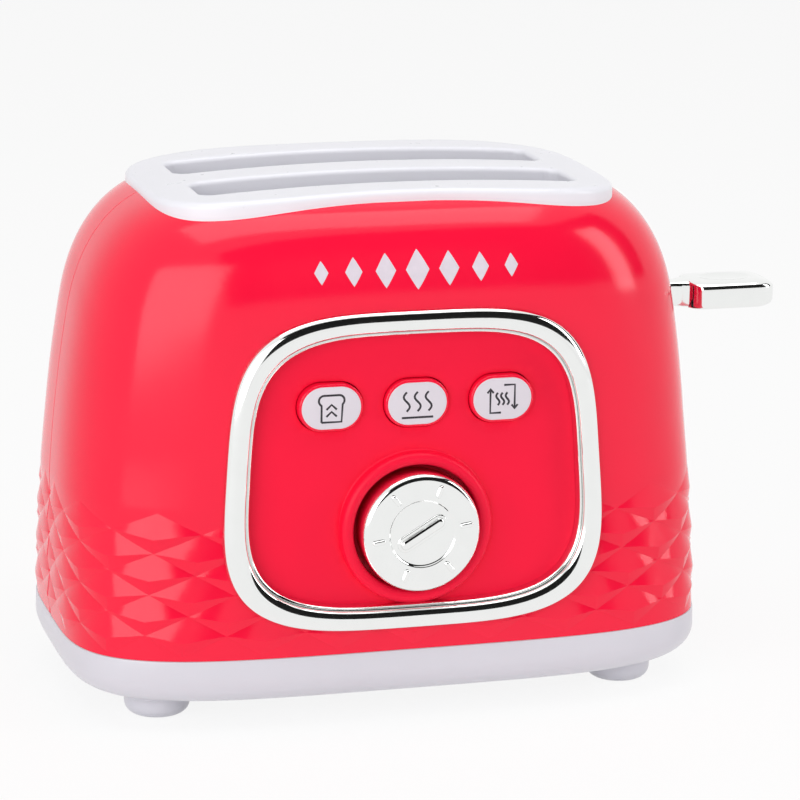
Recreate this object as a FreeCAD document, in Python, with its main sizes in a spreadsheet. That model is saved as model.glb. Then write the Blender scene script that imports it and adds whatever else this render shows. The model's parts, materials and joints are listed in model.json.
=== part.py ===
import FreeCAD, Part
import math
import os
import re
import Sketcher

V = FreeCAD.Vector
doc = FreeCAD.newDocument("toy_toaster")
sheet = doc.addObject("Spreadsheet::Sheet", "Sizes")

# Driving dimensions in millimetres, angles in degrees.
# The frame: +X to the lever side, -Y to the front, +Z up, ground under the middle of the body.
SIZES = (
    # Housing outline
    ("body_width", 191.0),
    ("body_depth", 114.8),
    ("tray_top", 21.2),
    ("waist_height", 40.0),
    ("shell_top", 148.2),
    ("end_lean", 13.8),
    ("face_lean", 4.2),
    ("end_shoulder", 36.2),
    ("end_shoulder_drop", 25.7),
    ("face_shoulder", 30.2),
    ("face_shoulder_drop", 17.2),
    ("shoulder_power", 2.4),
    ("low_squareness", 4.16),
    ("high_squareness", 3.0),
    ("square_fade", 59.0),
    ("shell_wall", 2.3),
    # Diamond band
    ("diamond_first", 22.4),
    ("diamond_half_height", 5.85),
    ("diamond_valley", 0.45),
    ("diamond_crown", 0.5),
    ("diamond_sag", 1.9),
    # Tray and moulded feet
    ("tray_bottom", 6.5),
    ("tray_round_height", 9.0),
    ("tray_round_inset", 11.0),
    ("tray_wall", 2.2),
    ("tray_lip_height", 3.0),
    ("tray_lip_wall", 1.4),
    ("tray_lip_gap", 1.3),
    ("foot_x", 70.0),
    ("foot_y", 32.0),
    ("foot_radius", 9.5),
    ("foot_flat", 6.0),
    ("foot_round", 3.5),
    # Slots, trim and wells
    ("slot_length", 110.6),
    ("slot_width", 19.75),
    ("slot_spacing", 33.75),
    ("slot_corner", 4.0),
    ("trim_length", 137.0),
    ("trim_depth", 80.0),
    ("trim_flare", 3.2),
    ("trim_rise", 3.0),
    ("trim_arch", 3.2),
    ("trim_round", 1.9),
    ("trim_squareness", 4.2),
    ("collar_wall", 1.4),
    ("collar_drop", 8.2),
    ("well_wall", 1.4),
    ("well_bottom", 28.0),
    ("well_lug", 6.0),
    ("well_lug_thick", 3.0),
    # Front panel and ring
    ("panel_height", 74.0),
    ("ring_half_width", 55.0),
    ("ring_half_height", 46.0),
    ("ring_squareness", 3.75),
    ("ring_taper", 0.06),
    ("ring_band", 7.0),
    ("ring_proud", 2.8),
    ("ring_slope", 1.8),
    ("landing_depth", 0.3),
    ("window_inset", 3.5),
    ("panel_recess", 2.6),
    ("panel_wall", 2.2),
    ("panel_overlap", 2.7),
    # Dial
    ("knob_radius", 17.3),
    ("knob_drop", 17.2),
    ("knob_stand", 5.4),
    ("knob_length", 11.0),
    ("knob_bevel", 2.0),
    ("knob_wall", 1.6),
    ("knob_dish_radius", 9.8),
    ("knob_dish_depth", 0.7),
    ("knob_bar_length", 14.5),
    ("knob_bar_width", 3.2),
    ("knob_bar_rise", 1.5),
    ("knob_bar_turn", 31.0),
    ("tick_length", 3.4),
    ("tick_width", 1.3),
    ("tick_rise", 0.5),
    ("tick_turn", 8.0),
    ("cup_radius", 18.5),
    ("cup_depth", 4.4),
    ("collar_radius", 22.2),
    ("dial_collar_rise", 3.4),
    ("shaft_radius", 2.5),
    ("hub_radius", 4.2),
    # Push buttons
    ("button_rise", 18.9),
    ("button_spacing", 25.0),
    ("button_length", 18.8),
    ("button_height", 13.8),
    ("button_setback", 2.1),
    ("button_depth", 5.5),
    ("button_face_margin", 0.5),
    ("button_face_thick", 0.6),
    ("button_face_proud", 0.2),
    ("button_flange", 1.3),
    ("button_flange_thick", 1.2),
    ("button_stem_radius", 2.2),
    ("button_spring_length", 3.7),
    ("button_plate_thick", 1.8),
    ("button_plate_width", 86.0),
    ("button_plate_height", 15.0),
    ("button_boss_gap", 0.6),
    ("button_boss_radius", 3.0),
    # Clockwork timer
    ("timer_setback", 10.8),
    ("plate_thick", 1.5),
    ("plate_gap", 10.4),
    ("plate_half_height", 23.0),
    ("plate_left", 35.0),
    ("plate_right", 57.0),
    ("pillar_x", 30.0),
    ("pillar_z", 18.0),
    ("pillar_radius", 2.6),
    ("gear_module", 0.8),
    ("drive_teeth", 40),
    ("pinion_teeth", 10),
    ("wheel_teeth", 24),
    ("fly_teeth", 8),
    ("wheel_angle", 200.0),
    ("fly_angle", 100.0),
    ("gear_thick", 2.4),
    ("gear_backlash", 0.16),
    ("arbor_radius", 1.2),
    ("fly_radius", 6.0),
    ("barrel_radius", 8.4),
    ("barrel_wall", 1.0),
    ("spring_turns", 4),
    # Release cam and latch
    ("cam_high", 8.6),
    ("cam_low", 3.6),
    ("cam_thick", 2.0),
    ("timer_turn", 270.0),
    ("latch_pivot_x", 52.0),
    ("latch_pivot_rise", 5.4),
    ("latch_thick", 1.6),
    ("latch_width", 5.0),
    ("latch_reach", 8.6),
    ("latch_pin_radius", 1.5),
    # Toast carriage and lever
    ("lever_height", 108.0),
    ("lever_travel", 42.0),
    ("arm_width", 3.2),
    ("arm_height", 6.0),
    ("handle_start", 100.5),
    ("handle_end", 126.0),
    ("handle_width", 19.0),
    ("handle_height", 9.0),
    ("handle_neck", 8.0),
    ("slot_guide_width", 7.4),
    ("slot_guide_gap", 1.6),
    ("slot_guide_round", 2.0),
    ("carriage_x", 62.0),
    ("carriage_thick", 3.0),
    ("carriage_width", 46.0),
    ("carriage_low", 66.0),
    ("carriage_high", 118.0),
    ("rod_x", 68.0),
    ("rod_y", 20.0),
    ("rod_radius", 2.0),
    ("sleeve_radius", 4.0),
    ("sleeve_height", 10.0),
    ("rest_height", 78.0),
    ("rest_width", 10.0),
    ("rest_rib", 3.0),
    ("rest_rib_height", 7.0),
    ("bracket_thick", 3.0),
    ("bracket_end", 73.0),
    ("socket_height", 7.0),
    ("socket_radius", 4.0),
    ("lift_spring_radius", 3.3),
    ("lift_spring_wire", 0.7),
    ("lift_spring_turns", 9),
    # Screws and bosses
    ("screw_radius", 1.35),
    ("screw_head_radius", 2.6),
    ("screw_head_height", 1.8),
    ("boss_radius", 3.6),
    ("shell_boss_low", 45.0),
    ("shell_boss_low_x", 82.0),
    ("shell_boss_high", 124.0),
    ("shell_boss_high_x", 78.5),
    ("base_boss_x", 56.0),
    ("base_boss_y", 42.0),
    # Clearances
    ("seat_gap", 0.05),
    ("run_gap", 0.06),
    ("free_gap", 0.3),
)

for row, (alias, value) in enumerate(SIZES, start=1):
    sheet.set("A%d" % row, alias)
    sheet.set("B%d" % row, str(value))
    sheet.setAlias("B%d" % row, alias)
doc.recompute()

ALIASES = [alias for alias, value in SIZES]
ALIAS_PATTERN = re.compile(r"(?<![\w.])(" + "|".join(ALIASES) + r")(?!\w)")
FRONT, REAR = -1, 1


class Sheet:
    """Reads a driving dimension from the spreadsheet by its alias."""

    def __getattr__(self, alias):
        return float(sheet.get(alias))


d = Sheet()


def formula(text):
    """An expression in sheet aliases, written for setExpression."""
    return ALIAS_PATTERN.sub(r"Sizes.\1", str(text))


def bind(thing, **properties):
    for name, text in properties.items():
        thing.setExpression(name.replace("__", "."), formula(text))


def place(thing, x="0", y="0", z="0"):
    thing.setExpression("Placement.Base.x", formula(x))
    thing.setExpression("Placement.Base.y", formula(y))
    thing.setExpression("Placement.Base.z", formula(z))


NODES = []


def name_node(thing, label):
    thing.Label = label
    NODES.append(thing)
    return thing


def shape_node(label, shape):
    """A sub-part whose form neither a body nor a primitive can hold."""
    thing = doc.addObject("Part::Feature", label)
    thing.Shape = shape
    return name_node(thing, label)


def box(name, low, length):
    thing = doc.addObject("Part::Box", name)
    bind(thing, Length=length[0], Width=length[1], Height=length[2])
    place(thing, *low)
    return thing


AXIS_TURN = {
    "x": FreeCAD.Rotation(V(0, 1, 0), 90),
    "y": FreeCAD.Rotation(V(1, 0, 0), -90),
    "z": FreeCAD.Rotation(),
}


def cylinder(name, axis, start, radius, length):
    thing = doc.addObject("Part::Cylinder", name)
    bind(thing, Radius=radius, Height=length)
    thing.Placement = FreeCAD.Placement(V(), AXIS_TURN[axis])
    place(thing, *start)
    return thing


def prism(name, sides, start, radius, length):
    """A many-sided bar along Y."""
    thing = doc.addObject("Part::Prism", name)
    thing.Polygon = sides
    bind(thing, Circumradius=radius, Height=length)
    thing.Placement = FreeCAD.Placement(V(), AXIS_TURN["y"])
    place(thing, *start)
    return thing


def fuse(name, things):
    thing = doc.addObject("Part::MultiFuse", name)
    thing.Shapes = things
    thing.Refine = True
    return thing


def cut(name, base, tools):
    tool = tools[0] if len(tools) == 1 else fuse(name + "_tools", tools)
    thing = doc.addObject("Part::Cut", name)
    thing.Base = base
    thing.Tool = tool
    return thing


def group(name, things):
    """Several like solids kept apart in one node."""
    thing = doc.addObject("Part::Compound", name)
    thing.Links = things
    return thing


# Sketches and bodies


def start_body(label):
    body = doc.addObject("PartDesign::Body", label)
    return name_node(body, label)


def sketch_on(body, name, plane, offset="0", turn="0"):
    """A sketch on one of the body's own planes, raised and turned by sheet values."""
    sketch = body.newObject("Sketcher::SketchObject", name)
    roles = {feature.Role: feature for feature in body.Origin.OriginFeatures}
    sketch.AttachmentSupport = [(roles[plane], "")]
    sketch.MapMode = "FlatFace"
    sketch.setExpression("AttachmentOffset.Base.z", formula(offset))
    sketch.setExpression("AttachmentOffset.Rotation.Angle", formula(turn))
    return sketch


def value_of(text):
    return float(sheet.evalExpression(formula(text)))


def polygon(sketch, points):
    """A closed outline whose corners are bound to sheet values."""
    corners = [V(value_of(x), value_of(y), 0) for x, y in points]
    count = len(corners)
    for index in range(count):
        line = Part.LineSegment(corners[index], corners[(index + 1) % count])
        sketch.addGeometry(line, False)
    for index in range(count):
        sketch.addConstraint(Sketcher.Constraint("Coincident", index, 2, (index + 1) % count, 1))
    for index, (x, y) in enumerate(points):
        for kind, text, value in (("DistanceX", x, corners[index].x), ("DistanceY", y, corners[index].y)):
            row = sketch.addConstraint(Sketcher.Constraint(kind, -1, 1, index, 1, value))
            sketch.setExpression("Constraints[%d]" % row, formula(text))


def stadium(sketch, length, height, centre="0"):
    """A slot outline: two straight runs and two round ends."""
    radius = value_of(height) / 2
    reach = value_of(length) / 2 - radius
    middle = value_of(centre)
    left, right = V(middle - reach, 0, 0), V(middle + reach, 0, 0)
    up = V(0, radius, 0)
    normal = V(0, 0, 1)
    sketch.addGeometry(Part.LineSegment(left - up, right - up), False)
    sketch.addGeometry(Part.ArcOfCircle(Part.Circle(right, normal, radius), -math.pi / 2, math.pi / 2), False)
    sketch.addGeometry(Part.LineSegment(right + up, left + up), False)
    left_circle = Part.Circle(left, normal, radius)
    sketch.addGeometry(Part.ArcOfCircle(left_circle, math.pi / 2, 3 * math.pi / 2), False)
    for first, second in ((0, 1), (1, 2), (2, 3), (3, 0)):
        sketch.addConstraint(Sketcher.Constraint("Tangent", first, 2, second, 1))
    sketch.addConstraint(Sketcher.Constraint("Equal", 1, 3))
    row = sketch.addConstraint(Sketcher.Constraint("Radius", 1, radius))
    sketch.setExpression("Constraints[%d]" % row, formula("(%s) / 2" % height))
    for edge, sign in ((1, "+"), (3, "-")):
        x = "(%s) %s ((%s) - (%s)) / 2" % (centre, sign, length, height)
        row = sketch.addConstraint(Sketcher.Constraint("DistanceX", -1, 1, edge, 3, value_of(x)))
        sketch.setExpression("Constraints[%d]" % row, formula(x))
    sketch.addConstraint(Sketcher.Constraint("PointOnObject", 1, 3, -1))


def circle(sketch, radius):
    sketch.addGeometry(Part.Circle(V(), V(0, 0, 1), value_of(radius)), False)
    sketch.addConstraint(Sketcher.Constraint("Coincident", 0, 3, -1, 1))
    row = sketch.addConstraint(Sketcher.Constraint("Radius", 0, value_of(radius)))
    sketch.setExpression("Constraints[%d]" % row, formula(radius))


def pad(body, sketch, length, reverse=False):
    feature = body.newObject("PartDesign::Pad", sketch.Name + "_pad")
    feature.Profile = sketch
    feature.Reversed = reverse
    feature.setExpression("Length", formula(length))
    sketch.Visibility = False
    return feature


def pocket(body, sketch, depth, reverse=False):
    feature = body.newObject("PartDesign::Pocket", sketch.Name + "_pocket")
    feature.Profile = sketch
    feature.Reversed = reverse
    feature.setExpression("Length", formula(depth))
    return feature


def revolve(body, sketch):
    feature = body.newObject("PartDesign::Revolution", sketch.Name + "_turn")
    feature.Profile = sketch
    feature.ReferenceAxis = (sketch, ["V_Axis"])
    feature.Angle = 360
    return feature


# The housing's wall as a formula


def rounded_drop(height, start, power):
    """How far along a shoulder's quarter curve a height lies: 0 at its start, 1 at the shell's top."""
    step = min(max((height - start) / (d.shell_top - start), 0.0), 1.0)
    return 1.0 - (1.0 - step ** power) ** (1.0 / power)


def lean(height, amount):
    rise = max(height - d.waist_height, 0.0) / (d.shell_top - d.waist_height)
    return amount * rise ** 2


def half_width(height):
    drop = rounded_drop(height, d.shell_top - d.end_shoulder, d.shoulder_power)
    return d.body_width / 2 - lean(height, d.end_lean) - d.end_shoulder_drop * drop


def half_depth(height):
    drop = rounded_drop(height, d.shell_top - d.face_shoulder, d.shoulder_power)
    return d.body_depth / 2 - lean(height, d.face_lean) - d.face_shoulder_drop * drop


def squareness(height):
    fade = min(max(1.0 - (height - d.tray_top) / d.square_fade, 0.0), 1.0)
    return d.high_squareness + (d.low_squareness - d.high_squareness) * fade ** 1.5


def signed_power(value, power):
    return math.copysign(abs(value) ** power, value)


def wall_point(height, turn, inset=0.0, side=FRONT):
    """A point of the wall at a turn from 0 (lever end) by 90 (middle of the face) to 180 degrees."""
    power = 2.0 / squareness(height)
    across = (half_width(height) - inset) * signed_power(math.cos(math.radians(turn)), power)
    out = (half_depth(height) - inset) * signed_power(math.sin(math.radians(turn)), power)
    return V(across, side * out, height)


def wall_y(height, across, inset=0.0):
    """How far the front wall stands from the middle plane at a height and a place across."""
    power = squareness(height)
    share = 1.0 - (abs(across) / (half_width(height) - inset)) ** power
    return (half_depth(height) - inset) * share ** (1.0 / power)


DIAMOND_COLUMNS = 24
DIAMOND_ROWS = 7


def even_turns(height, count):
    """Turns of count + 1 points spaced evenly by length along half of a section."""
    fine = 720
    turns = [180.0 * step / fine for step in range(fine + 1)]
    points = [wall_point(height, turn) for turn in turns]
    lengths = [0.0]
    for before, after in zip(points, points[1:]):
        lengths.append(lengths[-1] + before.distanceToPoint(after))
    result = []
    for step in range(count + 1):
        target = lengths[-1] * step / count
        result.append(turns[min(sum(1 for length in lengths if length < target), fine)])
    result[0], result[-1] = 0.0, 180.0
    return result


# The wall is drawn at the turns of the band's half columns, so that every piece on it shares its facets
WALL_TURNS = even_turns(d.diamond_first, DIAMOND_COLUMNS)


def triangle(first, second, third):
    return Part.Face(Part.makePolygon([first, second, third, first]))


def quad(first, second, third, fourth):
    return [triangle(first, second, third), triangle(first, third, fourth)]


def flat_face(points):
    return Part.Face(Part.makePolygon(points + [points[0]]))


def closed_solid(faces):
    shell = Part.makeShell(faces)
    shell.sewShape()
    solid = Part.makeSolid(shell)
    if solid.Volume < 0:
        solid.reverse()
    return solid


def skin(rings):
    """A solid in flat facets through rings of points, each ring flat at the two ends."""
    faces = [flat_face(rings[0]), flat_face(rings[-1])]
    count = len(rings[0])
    for below, above in zip(rings, rings[1:]):
        for index in range(count):
            after = (index + 1) % count
            faces += quad(below[index], below[after], above[after], above[index])
    return closed_solid(faces)


def half_block(heights, inset, side=FRONT, overrun=0.0):
    """The solid half of the housing within its wall, between heights, run past the seam plane or not."""
    rings = []
    for height in heights:
        points = [wall_point(height, turn, inset, side) for turn in WALL_TURNS]
        back = V(0, -side * overrun, 0)
        if overrun:
            points += [points[-1] + back, points[0] + back]
        rings.append(points)
    return skin(rings)


def spread(low, high, count):
    return [low + (high - low) * step / (count - 1) for step in range(count)]


def shoulder_heights(low, count):
    """Heights that crowd together towards the top, where the wall turns in fastest."""
    return [low + (d.shell_top - low) * math.sin(math.pi / 2 * step / (count - 1)) for step in range(count)]


# The diamond band

def diamond_row(row):
    return d.diamond_first + row * d.diamond_half_height


def band_top():
    return diamond_row(DIAMOND_ROWS)


def diamond_band(side=FRONT):
    """The lower half of a shell's outer solid: lozenges with crowns that hang below their middles."""
    half_columns = DIAMOND_COLUMNS
    turns = WALL_TURNS

    def corner(row, column):
        depth = d.diamond_valley if row < DIAMOND_ROWS - 1 else 0.0
        return wall_point(diamond_row(row), turns[column], depth, side)

    def crown(row, column):
        height = diamond_row(row) - d.diamond_sag
        return wall_point(height, turns[column], -d.diamond_crown, side)

    def is_crown(row, column):
        return (row + column) % 2 == 1 and 0 < row < DIAMOND_ROWS

    faces = []
    foot = [wall_point(d.tray_top, turn, d.diamond_valley, side) for turn in turns]
    low = [corner(0, column) for column in range(half_columns + 1)]
    for column in range(half_columns):
        faces += quad(foot[column], foot[column + 1], low[column + 1], low[column])
    left_chain, right_chain = [foot[0], low[0]], [foot[-1], low[-1]]
    for row in range(1, DIAMOND_ROWS):
        for column in range(half_columns + 1):
            if not is_crown(row, column):
                continue
            top = crown(row, column)
            below, above = corner(row - 1, column), corner(row + 1, column)
            if column > 0:
                before = corner(row, column - 1)
                faces += [triangle(top, before, below), triangle(top, above, before)]
            if column < half_columns:
                after = corner(row, column + 1)
                faces += [triangle(top, below, after), triangle(top, after, above)]
    # Between the lowest crowns the foot line closes each half lozenge, and so does the top line
    for row, inner in ((0, 1), (DIAMOND_ROWS, DIAMOND_ROWS - 1)):
        for column in range(half_columns + 1):
            if is_crown(inner, column):
                continue
            middle = corner(inner, column)
            if column > 0:
                faces.append(triangle(middle, corner(row, column - 1), corner(row, column)))
            if column < half_columns:
                faces.append(triangle(middle, corner(row, column), corner(row, column + 1)))
    for chain, column in ((left_chain, 0), (right_chain, half_columns)):
        for row in range(1, DIAMOND_ROWS + 1):
            chain.append(crown(row, column) if is_crown(row, column) else corner(row, column))
    top_line = [corner(DIAMOND_ROWS, column) for column in range(half_columns + 1)]
    faces.append(flat_face(foot))
    faces.append(flat_face(top_line))
    faces.append(flat_face(left_chain + right_chain[::-1]))
    return closed_solid(faces)


# Outlines that lie square to Y (panel, ring) or to Z (slots, trim)


def squircle_point(turn, inset, y):
    half_w, half_h = d.ring_half_width - inset, d.ring_half_height - inset
    power = 2.0 / d.ring_squareness
    rise = half_h * signed_power(math.sin(math.radians(turn)), power)
    narrow = 1.0 - d.ring_taper * rise / d.ring_half_height
    return V(half_w * narrow * signed_power(math.cos(math.radians(turn)), power), y, d.panel_height + rise)


RING_SIDES = 48


def squircle(inset, y):
    """The ring's rounded-square outline, wider at the bottom, in short flats that crowd at its corners."""
    return [squircle_point(360.0 * step / RING_SIDES, inset, y) for step in range(RING_SIDES)]


PANEL_FRONT_Y = -(d.body_depth / 2 + d.knob_stand + d.free_gap)
PANEL_BACK_Y = -(d.body_depth / 2 - d.timer_setback - d.panel_wall)


def squircle_prism(inset):
    return flat_face(squircle(inset, PANEL_FRONT_Y)).extrude(V(0, PANEL_BACK_Y - PANEL_FRONT_Y, 0))


def rounded_box(length, width, corner, low, high, y=0.0):
    half_x, half_y = length / 2, width / 2
    block = Part.makeBox(length, width, high - low, V(-half_x, y - half_y, low))
    upright = [edge for edge in block.Edges if abs(edge.Vertexes[0].Z - edge.Vertexes[1].Z) > 0.1]
    return block.makeFillet(corner, upright)


def face_block(inset):
    """The front half of the housing round the panel, within an inset wall."""
    low = d.panel_height - d.ring_half_height - 6.0
    high = d.panel_height + d.ring_half_height + 6.0
    return half_block(spread(low, high, 8), inset)


BOSS_SIDES = 10


def many_sided(centre, radius, along, span):
    """A boss or a screw hole inside the housing, drawn with few flat sides."""
    side = V(0, 0, 1) if along.y else V(1, 0, 0)
    other = along.cross(side)
    corners = []
    for step in range(BOSS_SIDES):
        turn = 2 * math.pi * step / BOSS_SIDES
        corners.append(centre + side * (radius * math.cos(turn)) + other * (radius * math.sin(turn)))
    return flat_face(corners).extrude(along * span)


def tube_y(x, z, radius, start, end):
    return many_sided(V(x, min(start, end), z), radius, V(0, 1, 0), abs(end - start))


def post(x, y, radius, low, high):
    return many_sided(V(x, y, low), radius, V(0, 0, 1), high - low)


SLOT_CENTRES = (-d.slot_spacing / 2, d.slot_spacing / 2)


def slot_prisms(grow, low, high):
    return [
        rounded_box(d.slot_length + 2 * grow, d.slot_width + 2 * grow, d.slot_corner + grow, low, high, y)
        for y in SLOT_CENTRES
    ]


# Shells

WELL_GROW = d.collar_wall + d.seat_gap * 2
WELL_OUT = WELL_GROW + d.well_wall
OPENING_LENGTH = d.slot_length + 2 * (WELL_OUT + d.well_lug) + 1.0
OPENING_WIDTH = d.slot_spacing + d.slot_width + 2 * (WELL_OUT + 2.6)

SHELL_BOSSES = [
    (sign * x, z)
    for sign in (-1, 1)
    for x, z in ((d.shell_boss_low_x, d.shell_boss_low), (d.shell_boss_high_x, d.shell_boss_high))
]
BASE_BOSSES = [(sx * d.base_boss_x, sy * d.base_boss_y) for sx in (-1, 1) for sy in (-1, 1)]
PILOT_RADIUS = d.screw_radius + 2 * d.seat_gap
CLEAR_RADIUS = d.screw_radius + d.free_gap
SINK_RADIUS = d.screw_head_radius + d.free_gap
BASE_BOSS_TOP = d.tray_top + 3.0
SHELL_BOSS_LENGTH = 11.0
SINK_TOP = d.tray_bottom + d.screw_head_height + 0.4
SEAM_FLOOR = 4.0


def outer_half(side):
    upper = half_block([band_top()] + shoulder_heights(band_top(), 11)[1:], 0.0, side)
    return diamond_band(side).fuse(upper)


def shell_cavity(side):
    heights = [d.tray_top - 1.0] + spread(d.diamond_first, d.shell_top - d.end_shoulder, 5)
    crown = d.shell_top - d.shell_wall - 0.4
    heights += [h for h in shoulder_heights(d.shell_top - d.end_shoulder, 7)[1:] if h < crown - 1.0]
    return half_block(heights + [crown], d.shell_wall, side, overrun=1.0)


def lever_slot():
    """The upright slot in the lever end, rounded top and bottom, shared by both shells."""
    half = d.slot_guide_width / 2
    low = d.lever_height - d.lever_travel - d.arm_height / 2 - d.slot_guide_gap
    high = d.lever_height + d.arm_height / 2 + d.slot_guide_gap
    start = d.carriage_x + d.carriage_thick
    block = Part.makeBox(d.body_width / 2 - start + 2.0, 2 * half, high - low, V(start, -half, low))
    along = [edge for edge in block.Edges if abs(edge.Vertexes[0].X - edge.Vertexes[1].X) > 0.1]
    return block.makeFillet(d.slot_guide_round, along)


def shell_half(side):
    outer = outer_half(side)
    shell = outer.cut(shell_cavity(side))
    opening = rounded_box(OPENING_LENGTH, OPENING_WIDTH, 6.0, d.shell_top - 30.0, d.shell_top + 3.0)
    shell = shell.cut(opening).cut(lever_slot())
    far = side * d.body_depth / 2
    posts = []
    for x, z in SHELL_BOSSES:
        posts.append(tube_y(x, z, d.boss_radius, 0.0, far))
    for x, y in BASE_BOSSES:
        if y * side > 0:
            posts.append(post(x, y, d.boss_radius, BASE_BOSS_TOP, BASE_BOSS_TOP + SHELL_BOSS_LENGTH))
            rib = Part.makeBox(2.0, abs(far - y), SHELL_BOSS_LENGTH, V(x - 1.0, min(y, far), BASE_BOSS_TOP))
            posts.append(rib)
    inside = half_block([d.tray_top] + spread(band_top(), d.shell_top - 0.2, 9), 0.6, side)
    posts = [p.common(inside) for p in posts]
    shell = shell.fuse(posts)
    holes = []
    for x, z in SHELL_BOSSES:
        if side == FRONT:
            holes.append(tube_y(x, z, PILOT_RADIUS, 0.0, -SHELL_BOSS_LENGTH))
        else:
            holes.append(tube_y(x, z, CLEAR_RADIUS, 0.0, far))
            holes.append(tube_y(x, z, SINK_RADIUS, SEAM_FLOOR, far))
    for x, y in BASE_BOSSES:
        if y * side > 0:
            holes.append(post(x, y, PILOT_RADIUS, BASE_BOSS_TOP, BASE_BOSS_TOP + SHELL_BOSS_LENGTH - 1.0))
    return shell.cut(holes)


front = shell_half(FRONT)
seat = squircle_prism(d.window_inset - d.panel_overlap - d.free_gap)
seat = seat.common(face_block(d.panel_recess - d.free_gap))
window = squircle_prism(d.window_inset)
landing = squircle_prism(-d.free_gap).cut(face_block(d.landing_depth))
front = front.cut([seat, window, landing])
shape_node("front_shell", front)
shape_node("rear_shell", shell_half(REAR))


# Tray


def tray_rings(inset, low, high, side_inset):
    """Rings of the tray's outside: a quarter round under the edge, then an upright wall."""
    rings = []
    start = d.tray_bottom + d.tray_round_height
    for turn in (90.0, 60.0, 30.0, 0.0):
        height = max(start - d.tray_round_height * math.sin(math.radians(turn)), low)
        round_inset = d.tray_round_inset * (1.0 - math.cos(math.radians(turn)))
        rings.append((height, inset + round_inset))
    rings.append((high, side_inset))
    return rings


def full_ring(height, inset):
    """A whole level ring of the wall's formula at the tray's top height, drawn at another height."""
    front = [wall_point(d.tray_top, turn, inset, FRONT) for turn in WALL_TURNS]
    rear = [wall_point(d.tray_top, turn, inset, REAR) for turn in WALL_TURNS[-2:0:-1]]
    return [V(p.x, p.y, height) for p in front + rear]


def full_block(levels):
    return skin([full_ring(height, inset) for height, inset in levels])


FOOT_SIDES = 16


def foot(x, y):
    """A moulded foot: flat under, rounded up its side, flared where it meets the tray."""
    levels = []
    for turn in (0.0, 45.0, 90.0):
        angle = math.radians(turn)
        out = d.foot_flat + (d.foot_radius - d.foot_flat) * math.sin(angle)
        levels.append((d.foot_round * (1.0 - math.cos(angle)), out))
    flare = d.foot_radius + 1.8
    levels.append((d.tray_bottom - 1.2, d.foot_radius + 0.6))
    levels += [(d.tray_bottom, flare), (d.tray_bottom + 1.5, flare)]
    rings = []
    for height, out in levels:
        turns = [2 * math.pi * step / FOOT_SIDES for step in range(FOOT_SIDES)]
        rings.append([V(x + out * math.cos(turn), y + out * math.sin(turn), height) for turn in turns])
    return skin(rings)


def tray_lip():
    """The inner lip that the shells stand round, on a ledge from the tray's wall."""
    outside = d.shell_wall + d.tray_lip_gap
    inside = outside + d.tray_lip_wall
    root = d.tray_top - 3.0
    lip_top = d.tray_top + d.tray_lip_height
    ledge_inset = d.tray_wall - 1.0
    bore = full_block([(root - 1.0, inside), (lip_top + 1.0, inside)])
    lip = full_block([(root, outside), (lip_top, outside)]).cut(bore)
    ledge = full_block([(root, ledge_inset), (d.tray_top - 1.0, ledge_inset)]).cut(bore)
    return [lip, ledge]


def base_tray():
    outer = full_block(tray_rings(0.0, d.tray_bottom, d.tray_top - d.seat_gap, d.diamond_valley))
    floor = d.tray_bottom + d.tray_wall
    tray = outer.cut(full_block(tray_rings(d.tray_wall, floor, d.tray_top + 1.0, d.tray_wall)))
    solids = tray_lip()
    solids += [foot(sx * d.foot_x, sy * d.foot_y) for sx in (-1, 1) for sy in (-1, 1)]
    sunk = floor - 0.5
    solids += [post(x, y, d.boss_radius, sunk, BASE_BOSS_TOP - d.seat_gap) for x, y in BASE_BOSSES]
    solids += [post(d.rod_x, sy * d.rod_y, d.socket_radius, sunk, floor + d.socket_height) for sy in (-1, 1)]
    tray = tray.fuse(solids)
    holes = [post(x, y, CLEAR_RADIUS, 0.0, BASE_BOSS_TOP + 1.0) for x, y in BASE_BOSSES]
    holes += [post(x, y, SINK_RADIUS, 0.0, SINK_TOP) for x, y in BASE_BOSSES]
    holes += [
        Part.makeCylinder(d.rod_radius + d.seat_gap, d.socket_height + 1.0, V(d.rod_x, sy * d.rod_y, floor))
        for sy in (-1, 1)
    ]
    return tray.cut(holes)


shape_node("base_tray", base_tray())


# Top trim: a white plate arched along the slots, wider near its ends, with a rounded edge


def trim_half_depth(x):
    """Half the trim's depth at a place along it: flared towards the ends, then rounded off."""
    half = d.trim_length / 2
    reach = min(abs(x) / (0.75 * half), 1.0)
    flare = d.trim_flare * (1.0 - math.cos(math.pi * reach)) / 2
    share = 1.0 - (abs(x) / half) ** d.trim_squareness
    return (d.trim_depth / 2 + flare) * share ** (1.0 / d.trim_squareness)


def trim_top(x):
    return d.shell_top + d.trim_rise - d.trim_arch * (2 * x / d.trim_length) ** 2


TRIM_STATIONS = (0.0, 0.15, 0.3, 0.45, 0.6, 0.72, 0.82, 0.9, 0.955, 0.985)
EDGE_TURNS = (0.0, 30.0, 60.0, 90.0)


def trim_ring(x, end_drop):
    """A section of the trim across the slots."""
    half, top = trim_half_depth(x), trim_top(x) - end_drop
    low = d.shell_top - 16.0
    side = [V(x, half, low)]
    for turn in EDGE_TURNS:
        angle = math.radians(turn)
        out = half - d.trim_round * (1.0 - math.cos(angle))
        side.append(V(x, out, top - d.trim_round * (1.0 - math.sin(angle))))
    return side + [V(point.x, -point.y, point.z) for point in side[::-1]]


def trim_blank():
    """The trim before its underside is shaped, its ends rounded over like its long edges."""
    rings = []
    half = d.trim_length / 2
    places = [share * half for share in TRIM_STATIONS]
    for x in [-place for place in places[:0:-1]] + places:
        near = max(abs(x) - (half - d.trim_round * 1.6), 0.0) / (d.trim_round * 1.6)
        rings.append(trim_ring(x, d.trim_round * (1.0 - math.sqrt(max(1.0 - near ** 2, 0.0)))))
    return skin(rings)


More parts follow.
